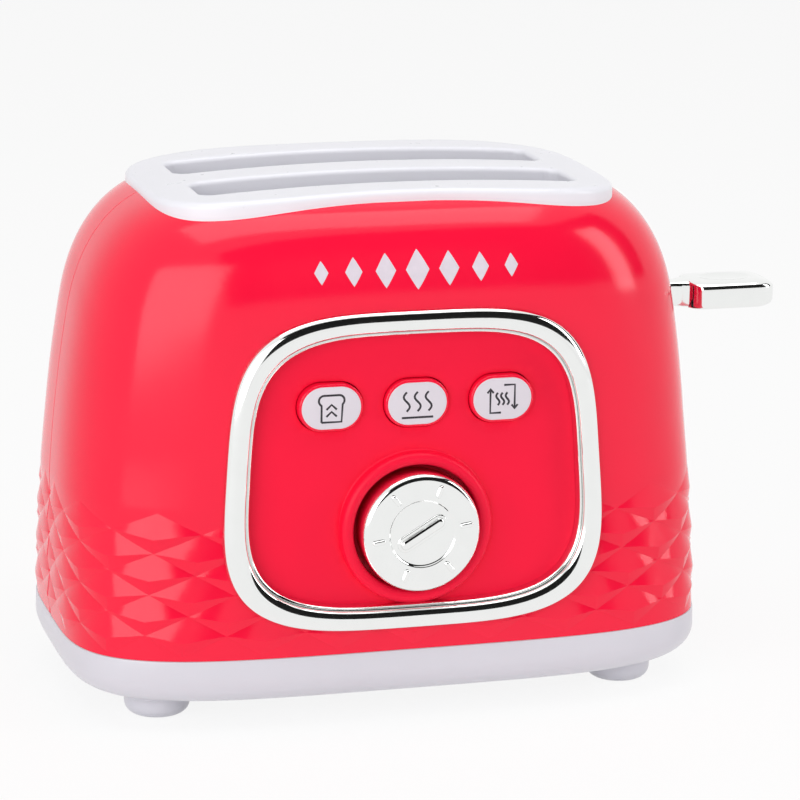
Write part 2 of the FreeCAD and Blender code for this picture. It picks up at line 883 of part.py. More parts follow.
def top_trim():
    trim = trim_blank()
    roof_heights = shoulder_heights(band_top(), 11)[4:]
    roof = []
    for height in roof_heights:
        front = [wall_point(height, turn, -d.seat_gap, FRONT) for turn in WALL_TURNS]
        rear = [wall_point(height, turn, -d.seat_gap, REAR) for turn in WALL_TURNS[-2:0:-1]]
        roof.append(front + rear)
    trim = trim.cut(skin(roof))
    underside = d.shell_top - 1.2
    collars = slot_prisms(d.collar_wall, d.shell_top - d.collar_drop, d.shell_top + 0.5)
    skirt = rounded_box(OPENING_LENGTH - 0.6, OPENING_WIDTH - 0.6, 5.7, underside - 3.5, d.shell_top + 0.5)
    hollow = rounded_box(OPENING_LENGTH - 3.6, OPENING_WIDTH - 3.6, 4.2, underside - 4.0, underside + 0.2)
    skirt = skirt.cut(hollow)
    posts = [post(x, y, 2.6, LUG_TOP, d.shell_top) for x, y in LUG_SPOTS]
    trim = trim.fuse([skirt.common(trim_blank())] + collars + posts)
    trim = trim.cut(slot_prisms(0.0, d.shell_top - 20.0, d.shell_top + 10.0))
    return trim.cut([post(x, y, PILOT_RADIUS, LUG_TOP, LUG_TOP + 6.0) for x, y in LUG_SPOTS])


LUG_TOP = d.shell_top - 9.2
LUG_X = d.slot_length / 2 + WELL_OUT + d.well_lug / 2
LUG_SPOTS = [(sign * LUG_X, y) for sign in (-1, 1) for y in SLOT_CENTRES]
shape_node("top_trim", top_trim())


# Bread wells: open-ended chutes under the slots, slit at the lever end for the rests


WELL_TOP = d.shell_top - d.collar_drop + 4.0


def well_block(y, grow, low, high):
    """A block with a slot's rounded outline, grown all round."""
    return rounded_box(d.slot_length + 2 * grow, d.slot_width + 2 * grow, d.slot_corner + grow, low, high, y)


def bread_well(y):
    shape = well_block(y, WELL_OUT, d.well_bottom, WELL_TOP)
    lug_length, lug_half = d.well_lug + 1.0, 4.0
    lug_low = LUG_TOP - d.well_lug_thick
    lugs = [
        Part.makeBox(lug_length, 2 * lug_half, d.well_lug_thick, V(sx * LUG_X - lug_length / 2, y - lug_half, lug_low))
        for sx in (-1, 1)
    ]
    shape = shape.fuse(lugs)
    low = d.well_bottom - 1.0
    inside = well_block(y, WELL_GROW, low, WELL_TOP + 1.0)
    slit_half = d.rest_rib / 2 + 0.7
    slit_top = d.rest_height + 1.5
    slit = Part.makeBox(20.0, 2 * slit_half, slit_top - low, V(d.slot_length / 2, y - slit_half, low))
    holes = [post(sx * LUG_X, y, CLEAR_RADIUS, LUG_TOP - 5.0, LUG_TOP + 1.0) for sx in (-1, 1)]
    return shape.cut([inside, slit] + holes)


for label, y in zip(("bread_well_front", "bread_well_rear"), SLOT_CENTRES):
    shape_node(label, bread_well(y))


# Front panel and its ring


KNOB_Z = d.panel_height - d.knob_drop
BUTTON_Z = d.panel_height + d.button_rise
PANEL_Y = -wall_y(d.panel_height, 0.0, d.panel_recess)
TIMER_FRONT = -(d.body_depth / 2 - d.timer_setback)
BUTTON_FRONT = -(d.body_depth / 2 - d.button_setback)
BUTTON_FLANGE_Y = BUTTON_FRONT + d.button_depth
BUTTON_PLATE_Y = BUTTON_FLANGE_Y + d.button_flange_thick + d.button_spring_length
PILLARS = [(sx * d.pillar_x, KNOB_Z + sz * d.pillar_z) for sx in (-1, 1) for sz in (-1, 1)]
BUTTON_REACH = d.button_spacing + d.button_length / 2 + d.button_flange
BUTTON_BOSS_X = BUTTON_REACH + d.button_boss_gap + d.button_boss_radius
BUTTON_BOSSES = [(sx * BUTTON_BOSS_X, BUTTON_Z) for sx in (-1, 1)]


def round_y(x, z, radius, start, end):
    return Part.makeCylinder(radius, end - start, V(x, start, z), V(0, 1, 0))


def stadium_prism(x, z, length, height, start, end):
    radius = height / 2
    reach = length / 2 - radius
    middle = Part.makeBox(2 * reach, end - start, height, V(x - reach, start, z - radius))
    ends = [Part.makeCylinder(radius, end - start, V(x + s * reach, start, z), V(0, 1, 0)) for s in (-1, 1)]
    return middle.fuse(ends).removeSplitter()


def dial_collar():
    """The rounded collar round the dial: a ring turned about the dial's axis."""
    middle = (d.cup_radius + d.collar_radius) / 2
    half = (d.collar_radius - d.cup_radius) / 2
    front = PANEL_Y - d.dial_collar_rise
    outline = [V(d.cup_radius, PANEL_Y + 2.0, 0), V(d.cup_radius, front + half, 0)]
    for turn in (45.0, 90.0, 135.0):
        angle = math.radians(turn)
        outline.append(V(middle - half * math.cos(angle), front + half - half * math.sin(angle), 0))
    outline += [V(d.collar_radius, front + half, 0), V(d.collar_radius + 0.4, PANEL_Y + 2.0, 0)]
    return flat_face(outline).revolve(V(), V(0, 1, 0), 360).translated(V(0, 0, KNOB_Z))


def front_panel():
    plate = squircle_prism(-d.panel_overlap + d.window_inset).common(face_block(d.panel_recess))
    plate = plate.cut(face_block(d.panel_recess + d.panel_wall))
    cup_floor = PANEL_Y + d.cup_depth
    cup_wall = 1.6
    cup = round_y(0, KNOB_Z, d.cup_radius + cup_wall, PANEL_Y, PANEL_Y + d.cup_depth + cup_wall)
    bosses = [tube_y(x, z, 3.0, PANEL_Y + 1.6, TIMER_FRONT) for x, z in PILLARS]
    bosses += [tube_y(x, z, d.button_boss_radius, PANEL_Y + 1.6, BUTTON_PLATE_Y) for x, z in BUTTON_BOSSES]
    plate = plate.fuse([cup.common(face_block(d.panel_recess)), dial_collar()] + bosses)
    holes = [round_y(0, KNOB_Z, d.cup_radius, PANEL_Y - 20.0, cup_floor)]
    holes.append(round_y(0, KNOB_Z, d.shaft_radius + d.run_gap, cup_floor - 5.0, cup_floor + 15.0))
    for step in (-1, 0, 1):
        holes.append(stadium_prism(
            step * d.button_spacing, BUTTON_Z,
            d.button_length + 2 * d.free_gap, d.button_height + 2 * d.free_gap, PANEL_Y - 5.0, PANEL_Y + 8.0,
        ))
    holes += [tube_y(x, z, PILOT_RADIUS, TIMER_FRONT, TIMER_FRONT - 5.0) for x, z in PILLARS]
    holes += [tube_y(x, z, PILOT_RADIUS, BUTTON_PLATE_Y, BUTTON_PLATE_Y - 5.0) for x, z in BUTTON_BOSSES]
    return plate.cut(holes)


shape_node("front_panel", front_panel())


def slope_prism(inset, slope, grow_front):
    """A squircle block whose outline changes by a slope from the wall out to the ring's face."""
    deep = squircle(inset, -(d.body_depth / 2 - 8.0))
    near = squircle(inset + slope * grow_front, -(d.body_depth / 2 + d.ring_proud + 1.0))
    return skin([deep, near])


def panel_ring():
    band = slope_prism(0.0 - 0.6, d.ring_slope, 1.0).cut(slope_prism(d.ring_band + 0.4, d.ring_slope, -1.0))
    face = band.common(face_block(-d.ring_proud)).cut(face_block(d.landing_depth - d.seat_gap))
    skirt_out = d.window_inset + d.free_gap
    skirt = squircle_prism(skirt_out).cut(slope_prism(d.ring_band + 0.4, d.ring_slope, -1.0))
    skirt = skirt.common(face_block(-d.ring_proud + 0.5)).cut(face_block(d.panel_recess - d.seat_gap))
    return face.fuse(skirt)


shape_node("panel_ring", panel_ring())


# Toast carriage, its guide rods and lift springs


ROD_SPOTS = [("front", -d.rod_y), ("rear", d.rod_y)]
TRAY_FLOOR = d.tray_bottom + d.tray_wall
BRACKET_TOP = LUG_TOP - d.well_lug_thick - d.seat_gap


def rod_node(label, y_text):
    rod = cylinder(label, "z", ("rod_x", y_text, "tray_bottom + tray_wall + seat_gap"), "rod_radius",
                   "shell_top - 9.2 - well_lug_thick - tray_bottom - tray_wall - 1.0")
    return name_node(rod, label)


rod_node("guide_rod_front", "-rod_y")
rod_node("guide_rod_rear", "rod_y")


def guide_bracket():
    plate = Part.makeBox(d.bracket_end - LUG_X + 2.7, 2 * (d.rod_y + 4.0), d.bracket_thick,
                         V(LUG_X - 2.7, -(d.rod_y + 4.0), BRACKET_TOP - d.bracket_thick))
    upright = [edge for edge in plate.Edges if abs(edge.Vertexes[0].Z - edge.Vertexes[1].Z) > 0.1]
    plate = plate.makeFillet(2.0, upright)
    low = BRACKET_TOP - d.bracket_thick - 1.0
    holes = [post(LUG_X, y, CLEAR_RADIUS, low, BRACKET_TOP + 1.0) for y in SLOT_CENTRES]
    bore = d.rod_radius + d.seat_gap
    holes += [Part.makeCylinder(bore, d.bracket_thick + 2.0, V(d.rod_x, y, low)) for side, y in ROD_SPOTS]
    return plate.cut(holes)


shape_node("guide_bracket", guide_bracket())


def coil(radius, wire, turns, low, high, steps=10):
    """A round coil of square wire in flat facets, its axis along Z."""
    count = int(turns * steps)
    rise = (high - low - wire) / count
    half = wire / 2
    corners = ((-1, -1), (1, -1), (1, 1), (-1, 1))
    rings = []
    for index in range(count + 1):
        turn = 2 * math.pi * index / steps
        height = low + half + rise * index
        out = V(math.cos(turn), math.sin(turn), 0)
        rings.append([out * (radius + a * half) + V(0, 0, height + b * half) for a, b in corners])
    return skin(rings)


SPRING_LOW = TRAY_FLOOR + d.socket_height + 0.1
SPRING_HIGH = d.carriage_low - 0.05


for side, y in ROD_SPOTS:
    middle = d.lift_spring_radius - d.lift_spring_wire / 2
    spring = coil(middle, d.lift_spring_wire, d.lift_spring_turns, SPRING_LOW, SPRING_HIGH)
    shape_node("lift_spring_" + side, spring.translated(V(d.rod_x, y, 0)))


def arm_room(start, length):
    """The room that the lever's arm takes, with a seat's gap all round."""
    gap = d.seat_gap
    corner = V(start, -d.arm_width / 2 - gap, d.lever_height - d.arm_height / 2 - gap)
    return Part.makeBox(length, d.arm_width + 2 * gap, d.arm_height + 2 * gap, corner)


def toast_carriage():
    x, low, high = d.carriage_x, d.carriage_low, d.carriage_high
    half = d.carriage_width / 2
    solids = [Part.makeBox(d.carriage_thick, 2 * half, high - low, V(x, -half, low))]
    rest_start, rest_length, rest_thick = -52.0, 106.0, 2.0
    under = d.rest_height - d.rest_rib_height - 1.0
    rest_low = d.rest_height - rest_thick
    for y in SLOT_CENTRES:
        rib_corner = V(rest_start, y - d.rest_rib / 2, under)
        solids.append(Part.makeBox(x + 1.0 - rest_start, d.rest_rib, d.rest_height - under, rib_corner))
        rest_corner = V(rest_start, y - d.rest_width / 2, rest_low)
        solids.append(Part.makeBox(rest_length, d.rest_width, rest_thick, rest_corner))
    for side, y in ROD_SPOTS:
        for foot_z in (low, high - d.sleeve_height):
            solids.append(Part.makeCylinder(d.sleeve_radius, d.sleeve_height, V(d.rod_x, y, foot_z)))
            solids.append(Part.makeBox(d.rod_x - x, 3.0, d.sleeve_height, V(x, y - 1.5, foot_z)))
    solids.append(Part.makeBox(4.8, 10.5, 4.0, V(x - 0.8, -half - 10.5, low + 6.0)))
    solids.append(Part.makeBox(8.0, 8.0, 9.0, V(x, -4.0, d.lever_height - 4.5)))
    shape = solids[0].fuse(solids[1:])
    bore = d.rod_radius + d.run_gap
    holes = [Part.makeCylinder(bore, high - low + 2.0, V(d.rod_x, y, low - 1.0)) for side, y in ROD_SPOTS]
    window = Part.makeBox(d.carriage_thick + 2.0, 2 * half - 26.0, 22.0, V(x - 1.0, -half + 13.0, low + 14.0))
    holes.append(window)
    holes.append(arm_room(x + d.carriage_thick, 20.0))
    return shape.cut(holes).removeSplitter()


shape_node("toast_carriage", toast_carriage())

arm = box("lever_arm_bar", ("carriage_x + carriage_thick + seat_gap", "-arm_width / 2", "lever_height - arm_height / 2"),
          ("handle_start + 11.0 - carriage_x - carriage_thick", "arm_width", "arm_height"))
name_node(arm, "lever_arm")


ARM_END = d.handle_start + 11.0


def rounded_ring(x, wide, tall, middle, roundness, step):
    """A section of the handle across X: an oblong with rounded corners."""
    ring = []
    for turn in range(step // 2, 360, step):
        angle = math.radians(turn)
        y = wide * signed_power(math.cos(angle), roundness)
        ring.append(V(x, y, middle + tall * signed_power(math.sin(angle), roundness)))
    return ring


def lever_handle():
    """The plated paddle in flat facets, on a narrower neck that clears the shells' slot."""
    start, end = d.handle_start, d.handle_end
    half, tall = d.handle_width / 2, d.handle_height / 2
    paddle = []
    for share, wide, thick, lift in (
        (0.0, 0.86, 0.84, 0.0), (0.05, 0.97, 0.96, 0.0), (0.14, 1.0, 1.0, 0.0), (0.5, 1.0, 0.98, 0.0),
        (0.82, 0.97, 0.93, 0.1), (0.95, 0.9, 0.8, 0.2), (1.0, 0.8, 0.62, 0.3),
    ):
        x = start + (end - start) * share
        paddle.append(rounded_ring(x, half * wide, tall * thick, d.lever_height + 0.5 + lift, 0.52, 18))
    neck = []
    for x, wide, thick in (
        (start - d.handle_neck, 2.9, 3.7), (start - 5.0, 3.0, 3.8), (start - 3.0, 3.9, 4.1),
        (start - 1.0, 4.6, 4.2), (start + 3.0, 6.0, 4.2),
    ):
        neck.append(rounded_ring(x, wide, thick, d.lever_height + 0.3, 0.5, 18))
    length = ARM_END - start + 20.0
    return skin(paddle).fuse(skin(neck)).cut(arm_room(ARM_END + 2 * d.seat_gap - length, length))


shape_node("lever_handle", lever_handle())


# Push buttons: keys with flanges and stems, icon inlays, springs and the plate behind them


BUTTON_PLACES = (("left", "-button_spacing"), ("middle", "0"), ("right", "button_spacing"))
FLANGE_BACK = "body_depth / 2 - button_setback - button_depth - button_flange_thick"


def button_key(label, x):
    body = start_body(label)
    place(body, x, "0", "panel_height + button_rise")
    flange = sketch_on(body, label + "_flange", "XZ_Plane", FLANGE_BACK)
    stadium(flange, "button_length + 2 * button_flange", "button_height + 2 * button_flange")
    pad(body, flange, "button_flange_thick")
    key = sketch_on(body, label + "_key", "XZ_Plane", "body_depth / 2 - button_setback - button_depth")
    stadium(key, "button_length", "button_height")
    pad(body, key, "button_depth")
    recess = sketch_on(body, label + "_recess", "XZ_Plane", "body_depth / 2 - button_setback")
    stadium(recess, "button_length - 2 * button_face_margin", "button_height - 2 * button_face_margin")
    pocket(body, recess, "button_face_thick - button_face_proud + seat_gap")
    stem = sketch_on(body, label + "_stem", "XZ_Plane", FLANGE_BACK)
    circle(stem, "button_stem_radius")
    pad(body, stem, "button_spring_length + button_plate_thick + 1.0", reverse=True)


def button_face(label, x):
    body = start_body(label)
    place(body, x, "0", "panel_height + button_rise")
    back = "body_depth / 2 - button_setback - button_face_thick + button_face_proud"
    face = sketch_on(body, label + "_outline", "XZ_Plane", back)
    rim = "2 * button_face_margin - 2 * seat_gap"
    stadium(face, "button_length - " + rim, "button_height - " + rim)
    pad(body, face, "button_face_thick")


for side, x in BUTTON_PLACES:
    button_key("button_" + side, x)
    button_face("button_face_" + side, x)


def button_spring(x):
    spring = coil(d.button_stem_radius + 0.65, 0.4, 3, 0.05, d.button_spring_length - 0.05)
    spring.rotate(V(), V(1, 0, 0), 90)
    return spring.translated(V(x, BUTTON_PLATE_Y, BUTTON_Z))


for index, (side, x) in enumerate(BUTTON_PLACES):
    shape_node("button_spring_" + side, button_spring((index - 1) * d.button_spacing))


def button_plate():
    half = d.button_plate_height / 2
    plate = Part.makeBox(d.button_plate_width, d.button_plate_thick, d.button_plate_height,
                         V(-d.button_plate_width / 2, BUTTON_PLATE_Y + d.seat_gap, BUTTON_Z - half))
    along = [edge for edge in plate.Edges if abs(edge.Vertexes[0].Y - edge.Vertexes[1].Y) > 0.1]
    plate = plate.makeFillet(3.0, along)
    holes = [tube_y(x, z, CLEAR_RADIUS, BUTTON_PLATE_Y - 1.0, BUTTON_PLATE_Y + 4.0) for x, z in BUTTON_BOSSES]
    start = BUTTON_PLATE_Y - 1.0
    for step in (-1, 0, 1):
        hole_radius = d.button_stem_radius + d.run_gap
        holes.append(round_y(step * d.button_spacing, BUTTON_Z, hole_radius, start, start + 6.0))
    return plate.cut(holes)


shape_node("button_plate", button_plate())


# Dial knob


def dial_knob():
    body = start_body("dial_knob")
    place(body, "0", "0", "panel_height - knob_drop")
    front = "-(body_depth / 2 + knob_stand)"
    profile = sketch_on(body, "knob_profile", "XY_Plane")
    polygon(profile, (
        ("0", front + " + knob_dish_depth"),
        ("knob_dish_radius", front + " + knob_dish_depth"),
        ("knob_dish_radius + 0.7", front),
        ("knob_radius - knob_bevel", front),
        ("knob_radius - knob_bevel * 0.3", front + " + knob_bevel * 0.3"),
        ("knob_radius", front + " + knob_bevel"),
        ("knob_radius", front + " + knob_length"),
        ("knob_radius - knob_wall", front + " + knob_length"),
        ("knob_radius - knob_wall", front + " + knob_bevel + knob_wall"),
        ("hub_radius", front + " + knob_bevel + knob_wall"),
        ("hub_radius", front + " + knob_length"),
        ("shaft_radius + seat_gap", front + " + knob_length"),
        ("shaft_radius + seat_gap", front + " + knob_length - 6.2"),
        ("0", front + " + knob_length - 6.2"),
    ))
    revolve(body, profile)
    dish = "body_depth / 2 + knob_stand - knob_dish_depth"
    bar = sketch_on(body, "knob_bar", "XZ_Plane", dish, "knob_bar_turn")
    stadium(bar, "knob_bar_length", "knob_bar_width")
    pad(body, bar, "knob_bar_rise")
    tick = sketch_on(body, "knob_tick", "XZ_Plane", "body_depth / 2 + knob_stand", "tick_turn")
    middle = "(knob_dish_radius + 0.7 + knob_radius - knob_bevel) / 2"
    polygon(tick, [
        ("%s %s tick_length / 2" % (middle, sx), "%s tick_width / 2" % sy)
        for sx, sy in (("-", "-"), ("+", "-"), ("+", ""), ("-", ""))
    ])
    raised = pad(body, tick, "tick_rise")
    pattern = body.newObject("PartDesign::PolarPattern", "knob_ticks")
    pattern.Originals = [raised]
    pattern.Axis = (tick, ["N_Axis"])
    pattern.Angle = 360
    pattern.Occurrences = 6
    body.Tip = pattern


dial_knob()


# Clockwork timer


SHAFT_FRONT = "-(body_depth / 2 + knob_stand) + knob_length - 6.0"
shaft = cylinder("timer_shaft_rod", "y", ("0", SHAFT_FRONT, "panel_height - knob_drop"), "shaft_radius",
                 "body_depth / 2 + knob_stand - knob_length + 6.0 - 30.4")
name_node(shaft, "timer_shaft")

REAR_PLATE_Y = TIMER_FRONT + d.plate_thick + d.plate_gap
TIMER_REAR = REAR_PLATE_Y + d.plate_thick
WHEEL_SPOT = (
    d.gear_module * (d.drive_teeth + d.pinion_teeth) / 2 * math.cos(math.radians(d.wheel_angle)),
    KNOB_Z + d.gear_module * (d.drive_teeth + d.pinion_teeth) / 2 * math.sin(math.radians(d.wheel_angle)),
)
FLY_SPOT = (
    WHEEL_SPOT[0] + d.gear_module * (d.wheel_teeth + d.fly_teeth) / 2 * math.cos(math.radians(d.fly_angle)),
    WHEEL_SPOT[1] + d.gear_module * (d.wheel_teeth + d.fly_teeth) / 2 * math.sin(math.radians(d.fly_angle)),
)
LATCH_SPOT = (d.latch_pivot_x, KNOB_Z + d.latch_pivot_rise)


def timer_plate(left, right, start):
    half = d.plate_half_height
    plate = Part.makeBox(left + right, d.plate_thick, 2 * half, V(-left, start, KNOB_Z - half))
    along = [edge for edge in plate.Edges if abs(edge.Vertexes[0].Y - edge.Vertexes[1].Y) > 0.1]
    plate = plate.makeFillet(4.0, along)
    low, high = start - 1.0, start + d.plate_thick + 1.0
    holes = [tube_y(x, z, CLEAR_RADIUS, low, high) for x, z in PILLARS]
    holes.append(round_y(0, KNOB_Z, d.shaft_radius + d.run_gap, low, high))
    for x, z in (WHEEL_SPOT, FLY_SPOT):
        holes.append(round_y(x, z, d.arbor_radius + d.run_gap, low, high))
    return plate, holes


plate, holes = timer_plate(d.plate_left, d.plate_left, TIMER_FRONT + d.seat_gap)
shape_node("timer_front_plate", plate.cut(holes))
plate, holes = timer_plate(d.plate_left, d.plate_right, REAR_PLATE_Y)
latch_bore = d.latch_pin_radius + d.seat_gap
holes.append(round_y(LATCH_SPOT[0], LATCH_SPOT[1], latch_bore, REAR_PLATE_Y - 1.0, TIMER_REAR + 1.0))
shape_node("timer_rear_plate", plate.cut(holes))

pillars = []
for row, (x, z) in enumerate(PILLARS):
    side = "-" if x < 0 else ""
    sign = "-" if z < KNOB_Z else "+"
    spot = (side + "pillar_x", "-(body_depth / 2 - timer_setback) + plate_thick + 2 * seat_gap",
            "panel_height - knob_drop %s pillar_z" % sign)
    outer = prism("pillar_outer_%d" % row, 6, spot, "pillar_radius", "plate_gap - 3 * seat_gap")
    bore = prism("pillar_bore_%d" % row, BOSS_SIDES, spot, "screw_radius + free_gap", "plate_gap")
    pillars.append(cut("pillar_%d" % row, outer, [bore]))
name_node(group("timer_pillars", pillars), "timer_pillars")


def gear_outline(teeth, turn):
    """Trapezoid teeth of the module, thinned by the backlash, starting at a turn in degrees."""
    pitch = d.gear_module * teeth / 2
    tip, root = pitch + 0.9 * d.gear_module, pitch - 1.15 * d.gear_module
    step = 2 * math.pi / teeth
    points = []
    for tooth in range(teeth):
        middle = math.radians(turn) + tooth * step
        for radius, share in ((root, 0.36), (pitch, 0.25), (tip, 0.13)):
            half = step * share - d.gear_backlash / 2 / radius
            points.append((middle - half, radius))
        for radius, share in ((tip, 0.13), (pitch, 0.25), (root, 0.36)):
            half = step * share - d.gear_backlash / 2 / radius
            points.append((middle + half, radius))
    return [V(radius * math.cos(angle), 0, radius * math.sin(angle)) for angle, radius in points]


def gear(teeth, spot, start, thick, turn):
    return flat_face(gear_outline(teeth, turn)).extrude(V(0, thick, 0)).translated(V(spot[0], start, spot[1]))


DRIVE_Y = TIMER_FRONT + d.plate_thick + 0.7
WHEEL_Y = DRIVE_Y + d.gear_thick + 1.2
FLY_Y = WHEEL_Y + 3.4


def meshing_turn(angle, teeth, driver_teeth, driver_turn):
    """The turn that sets a gap of the driven gear opposite a tooth of its driver."""
    phase = (angle - driver_turn) / (360.0 / driver_teeth)
    return angle + 180.0 + (0.5 + phase) * 360.0 / teeth


def hub(spot, radius, start, end):
    return round_y(spot[0], spot[1], radius, start, end)


drive = gear(int(d.drive_teeth), (0.0, KNOB_Z), DRIVE_Y, d.gear_thick, 0.0)
drive = drive.cut(hub((0.0, KNOB_Z), d.shaft_radius + d.seat_gap, DRIVE_Y - 1.0, DRIVE_Y + 5.0))
shape_node("drive_gear", drive)

pinion_turn = meshing_turn(d.wheel_angle, d.pinion_teeth, d.drive_teeth, 0.0)
arbor_low, arbor_high = TIMER_FRONT + 0.3, TIMER_REAR - 0.2
transfer = gear(int(d.pinion_teeth), WHEEL_SPOT, DRIVE_Y - 0.2, d.gear_thick + 1.6, pinion_turn)
transfer = transfer.fuse([
    gear(int(d.wheel_teeth), WHEEL_SPOT, WHEEL_Y, 2.0, 0.0),
    hub(WHEEL_SPOT, d.arbor_radius, arbor_low, arbor_high),
])
shape_node("transfer_gear", transfer)

fly_turn = meshing_turn(d.fly_angle, d.fly_teeth, d.wheel_teeth, 0.0)
governor = gear(int(d.fly_teeth), FLY_SPOT, WHEEL_Y - 0.4, 2.8, fly_turn)
fly_wheel = hub(FLY_SPOT, d.fly_radius, FLY_Y, FLY_Y + 1.8)
fly_cuts = [
    Part.makeBox(5.0, 4.0, 2.4, V(FLY_SPOT[0] + s * 5.2 - 2.5, FLY_Y - 1.0, FLY_SPOT[1] - 1.2))
    for s in (-1, 1)
]
governor = governor.fuse([fly_wheel.cut(fly_cuts), hub(FLY_SPOT, d.arbor_radius, arbor_low, arbor_high)])
shape_node("governor", governor)

BARREL_LOW = REAR_PLATE_Y - d.seat_gap - 5.9
barrel = hub((0.0, KNOB_Z), d.barrel_radius, BARREL_LOW, REAR_PLATE_Y - d.seat_gap)
barrel = barrel.cut(hub((0.0, KNOB_Z), d.barrel_radius - d.barrel_wall, BARREL_LOW - 1.0, REAR_PLATE_Y - 1.2))
barrel = barrel.cut(hub((0.0, KNOB_Z), d.shaft_radius + d.free_gap, BARREL_LOW - 1.0, REAR_PLATE_Y + 1.0))
shape_node("spring_barrel", barrel)


def mainspring():
    """A flat spiral of square strip from the shaft out towards the barrel's wall."""
    inner, outer = d.shaft_radius + d.seat_gap, d.barrel_radius - d.barrel_wall - 0.9
    steps = 16
    count = int(d.spring_turns) * steps
    front, back = [], []
    for index in range(count + 1):
        turn = 2 * math.pi * index / steps
        radius = inner + (outer - inner) * index / count
        way = V(math.cos(turn), 0, math.sin(turn))
        front.append(way * radius)
        back.append(way * (radius + 0.35))
    strip = flat_face(front + back[::-1]).extrude(V(0, 3.4, 0))
    return strip.translated(V(0, BARREL_LOW + 0.4, KNOB_Z))


shape_node("mainspring", mainspring())


# Release cam and latch


CAM_Y = TIMER_REAR + 0.6
LATCH_Y = TIMER_REAR + 0.8


def release_cam():
    """A snail: its radius falls evenly over the timer's turn and steps back at the end."""
    steps = 36
    points = []
    for index in range(steps + 1):
        share = index / steps
        turn = math.radians(90.0 + 330.0 * share)
        fall = min(330.0 * share / d.timer_turn, 1.0)
        radius = d.cam_high - (d.cam_high - d.cam_low) * fall
        points.append(V(radius * math.cos(turn), 0, radius * math.sin(turn)))
    cam = flat_face(points).extrude(V(0, d.cam_thick, 0)).translated(V(0, CAM_Y, KNOB_Z))
    return cam.cut(hub((0.0, KNOB_Z), d.shaft_radius + d.seat_gap, CAM_Y - 1.0, CAM_Y + 5.0))


shape_node("release_cam", release_cam())


def latch_lever():
    px, pz = LATCH_SPOT
    half = d.latch_width / 2
    nose = KNOB_Z + d.cam_high + 0.25
    hook_z = d.carriage_low + 6.0 + 4.0 - d.lever_travel + d.free_gap
    tip = px + d.latch_reach
    outline = [
        V(px + half, 0, pz + half), V(px - half, 0, pz + half + 1.5), V(3.0, 0, nose + 3.4),
        V(-1.5, 0, nose + 2.6), V(-1.5, 0, nose + 0.6), V(-0.6, 0, nose), V(0.8, 0, nose),
        V(2.4, 0, nose + 0.8), V(px - half - 4.0, 0, pz - 0.4), V(px - half, 0, pz - 4.0),
        V(px - half, 0, hook_z - 0.4), V(px - half + 1.0, 0, hook_z - 1.4),
    ]
    outline += [V(tip - 1.5, 0, hook_z), V(tip, 0, hook_z), V(tip, 0, hook_z + 1.0)]
    outline.append(V(px + half, 0, hook_z + 4.6))
    plate = flat_face(outline).extrude(V(0, d.latch_thick, 0)).translated(V(0, LATCH_Y, 0))
    return plate.cut(round_y(px, pz, d.latch_pin_radius + d.run_gap, LATCH_Y - 1.0, LATCH_Y + 4.0))


shape_node("latch_lever", latch_lever())

pin_start = "-(body_depth / 2 - timer_setback) + plate_gap + plate_thick - 0.6"
pin = cylinder("latch_pin_rod", "y", ("latch_pivot_x", pin_start, "panel_height - knob_drop + latch_pivot_rise"),
               "latch_pin_radius", "plate_thick + latch_thick + 2.0")
name_node(pin, "latch_pin")


# Screws: a headed shank each, kept as separate solids in one node per kind


def screw(head_at, along, length):
    """A screw whose head sits at a point and whose shank runs along a direction."""
    head = many_sided(head_at, d.screw_head_radius, along, d.screw_head_height)
    shank = many_sided(head_at, d.screw_radius, along, length)
    cross = Part.makeBox(3.0, 0.8, 0.8, V(-1.5, -0.4, 0.0))
    slot_a = cross.copy()
    slot_b = cross.copy()
    slot_b.rotate(V(), V(0, 0, 1), 90)
    slots = slot_a.fuse(slot_b)
    turn_to_head = FreeCAD.Placement(head_at, FreeCAD.Rotation(V(0, 0, 1), along))
    slots.Placement = turn_to_head.multiply(slots.Placement)
    return head.fuse(shank).cut(slots)


def screws(label, spots, along, length):
    shape_node(label, Part.makeCompound([screw(spot, along, length) for spot in spots]))


head, gap = d.screw_head_height, d.seat_gap
screws("shell_screws", [V(x, SEAM_FLOOR + head + gap, z) for x, z in SHELL_BOSSES], V(0, -1, 0), 14.0)
screws("base_screws", [V(x, y, SINK_TOP - head - gap) for x, y in BASE_BOSSES], V(0, 0, 1), 24.0)
screws("timer_screws", [V(x, TIMER_REAR + head + gap, z) for x, z in PILLARS], V(0, -1, 0), 19.5)
plate_back = BUTTON_PLATE_Y + d.button_plate_thick
screws("button_screws", [V(x, plate_back + head + 2 * gap, z) for x, z in BUTTON_BOSSES], V(0, -1, 0), 7.0)
trim_heads = [V(LUG_X, y, BRACKET_TOP - d.bracket_thick - head - gap) for y in SLOT_CENTRES]
trim_heads += [V(-LUG_X, y, LUG_TOP - d.well_lug_thick - head - gap) for y in SLOT_CENTRES]
screws("trim_screws", trim_heads, V(0, 0, 1), 10.0)


# Checks and export


doc.recompute()
for thing in doc.Objects:
    for word in ("Invalid", "Error"):
        if word in thing.State:
            raise RuntimeError("%s is %s" % (thing.Label, word))
for node in NODES:
    if node.Shape.isNull() or not node.Shape.isValid():
        raise RuntimeError("%s has no sound shape" % node.Label)

os.makedirs("parts", exist_ok=True)
for node in NODES:
    node.Shape.exportStep("parts/%s.step" % node.Label)
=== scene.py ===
import json
from math import copysign, cos, floor, pi, radians, sin

import bmesh
import bpy
from bpy.props import FloatProperty, FloatVectorProperty, IntProperty, PointerProperty
from mathutils import Matrix, Vector


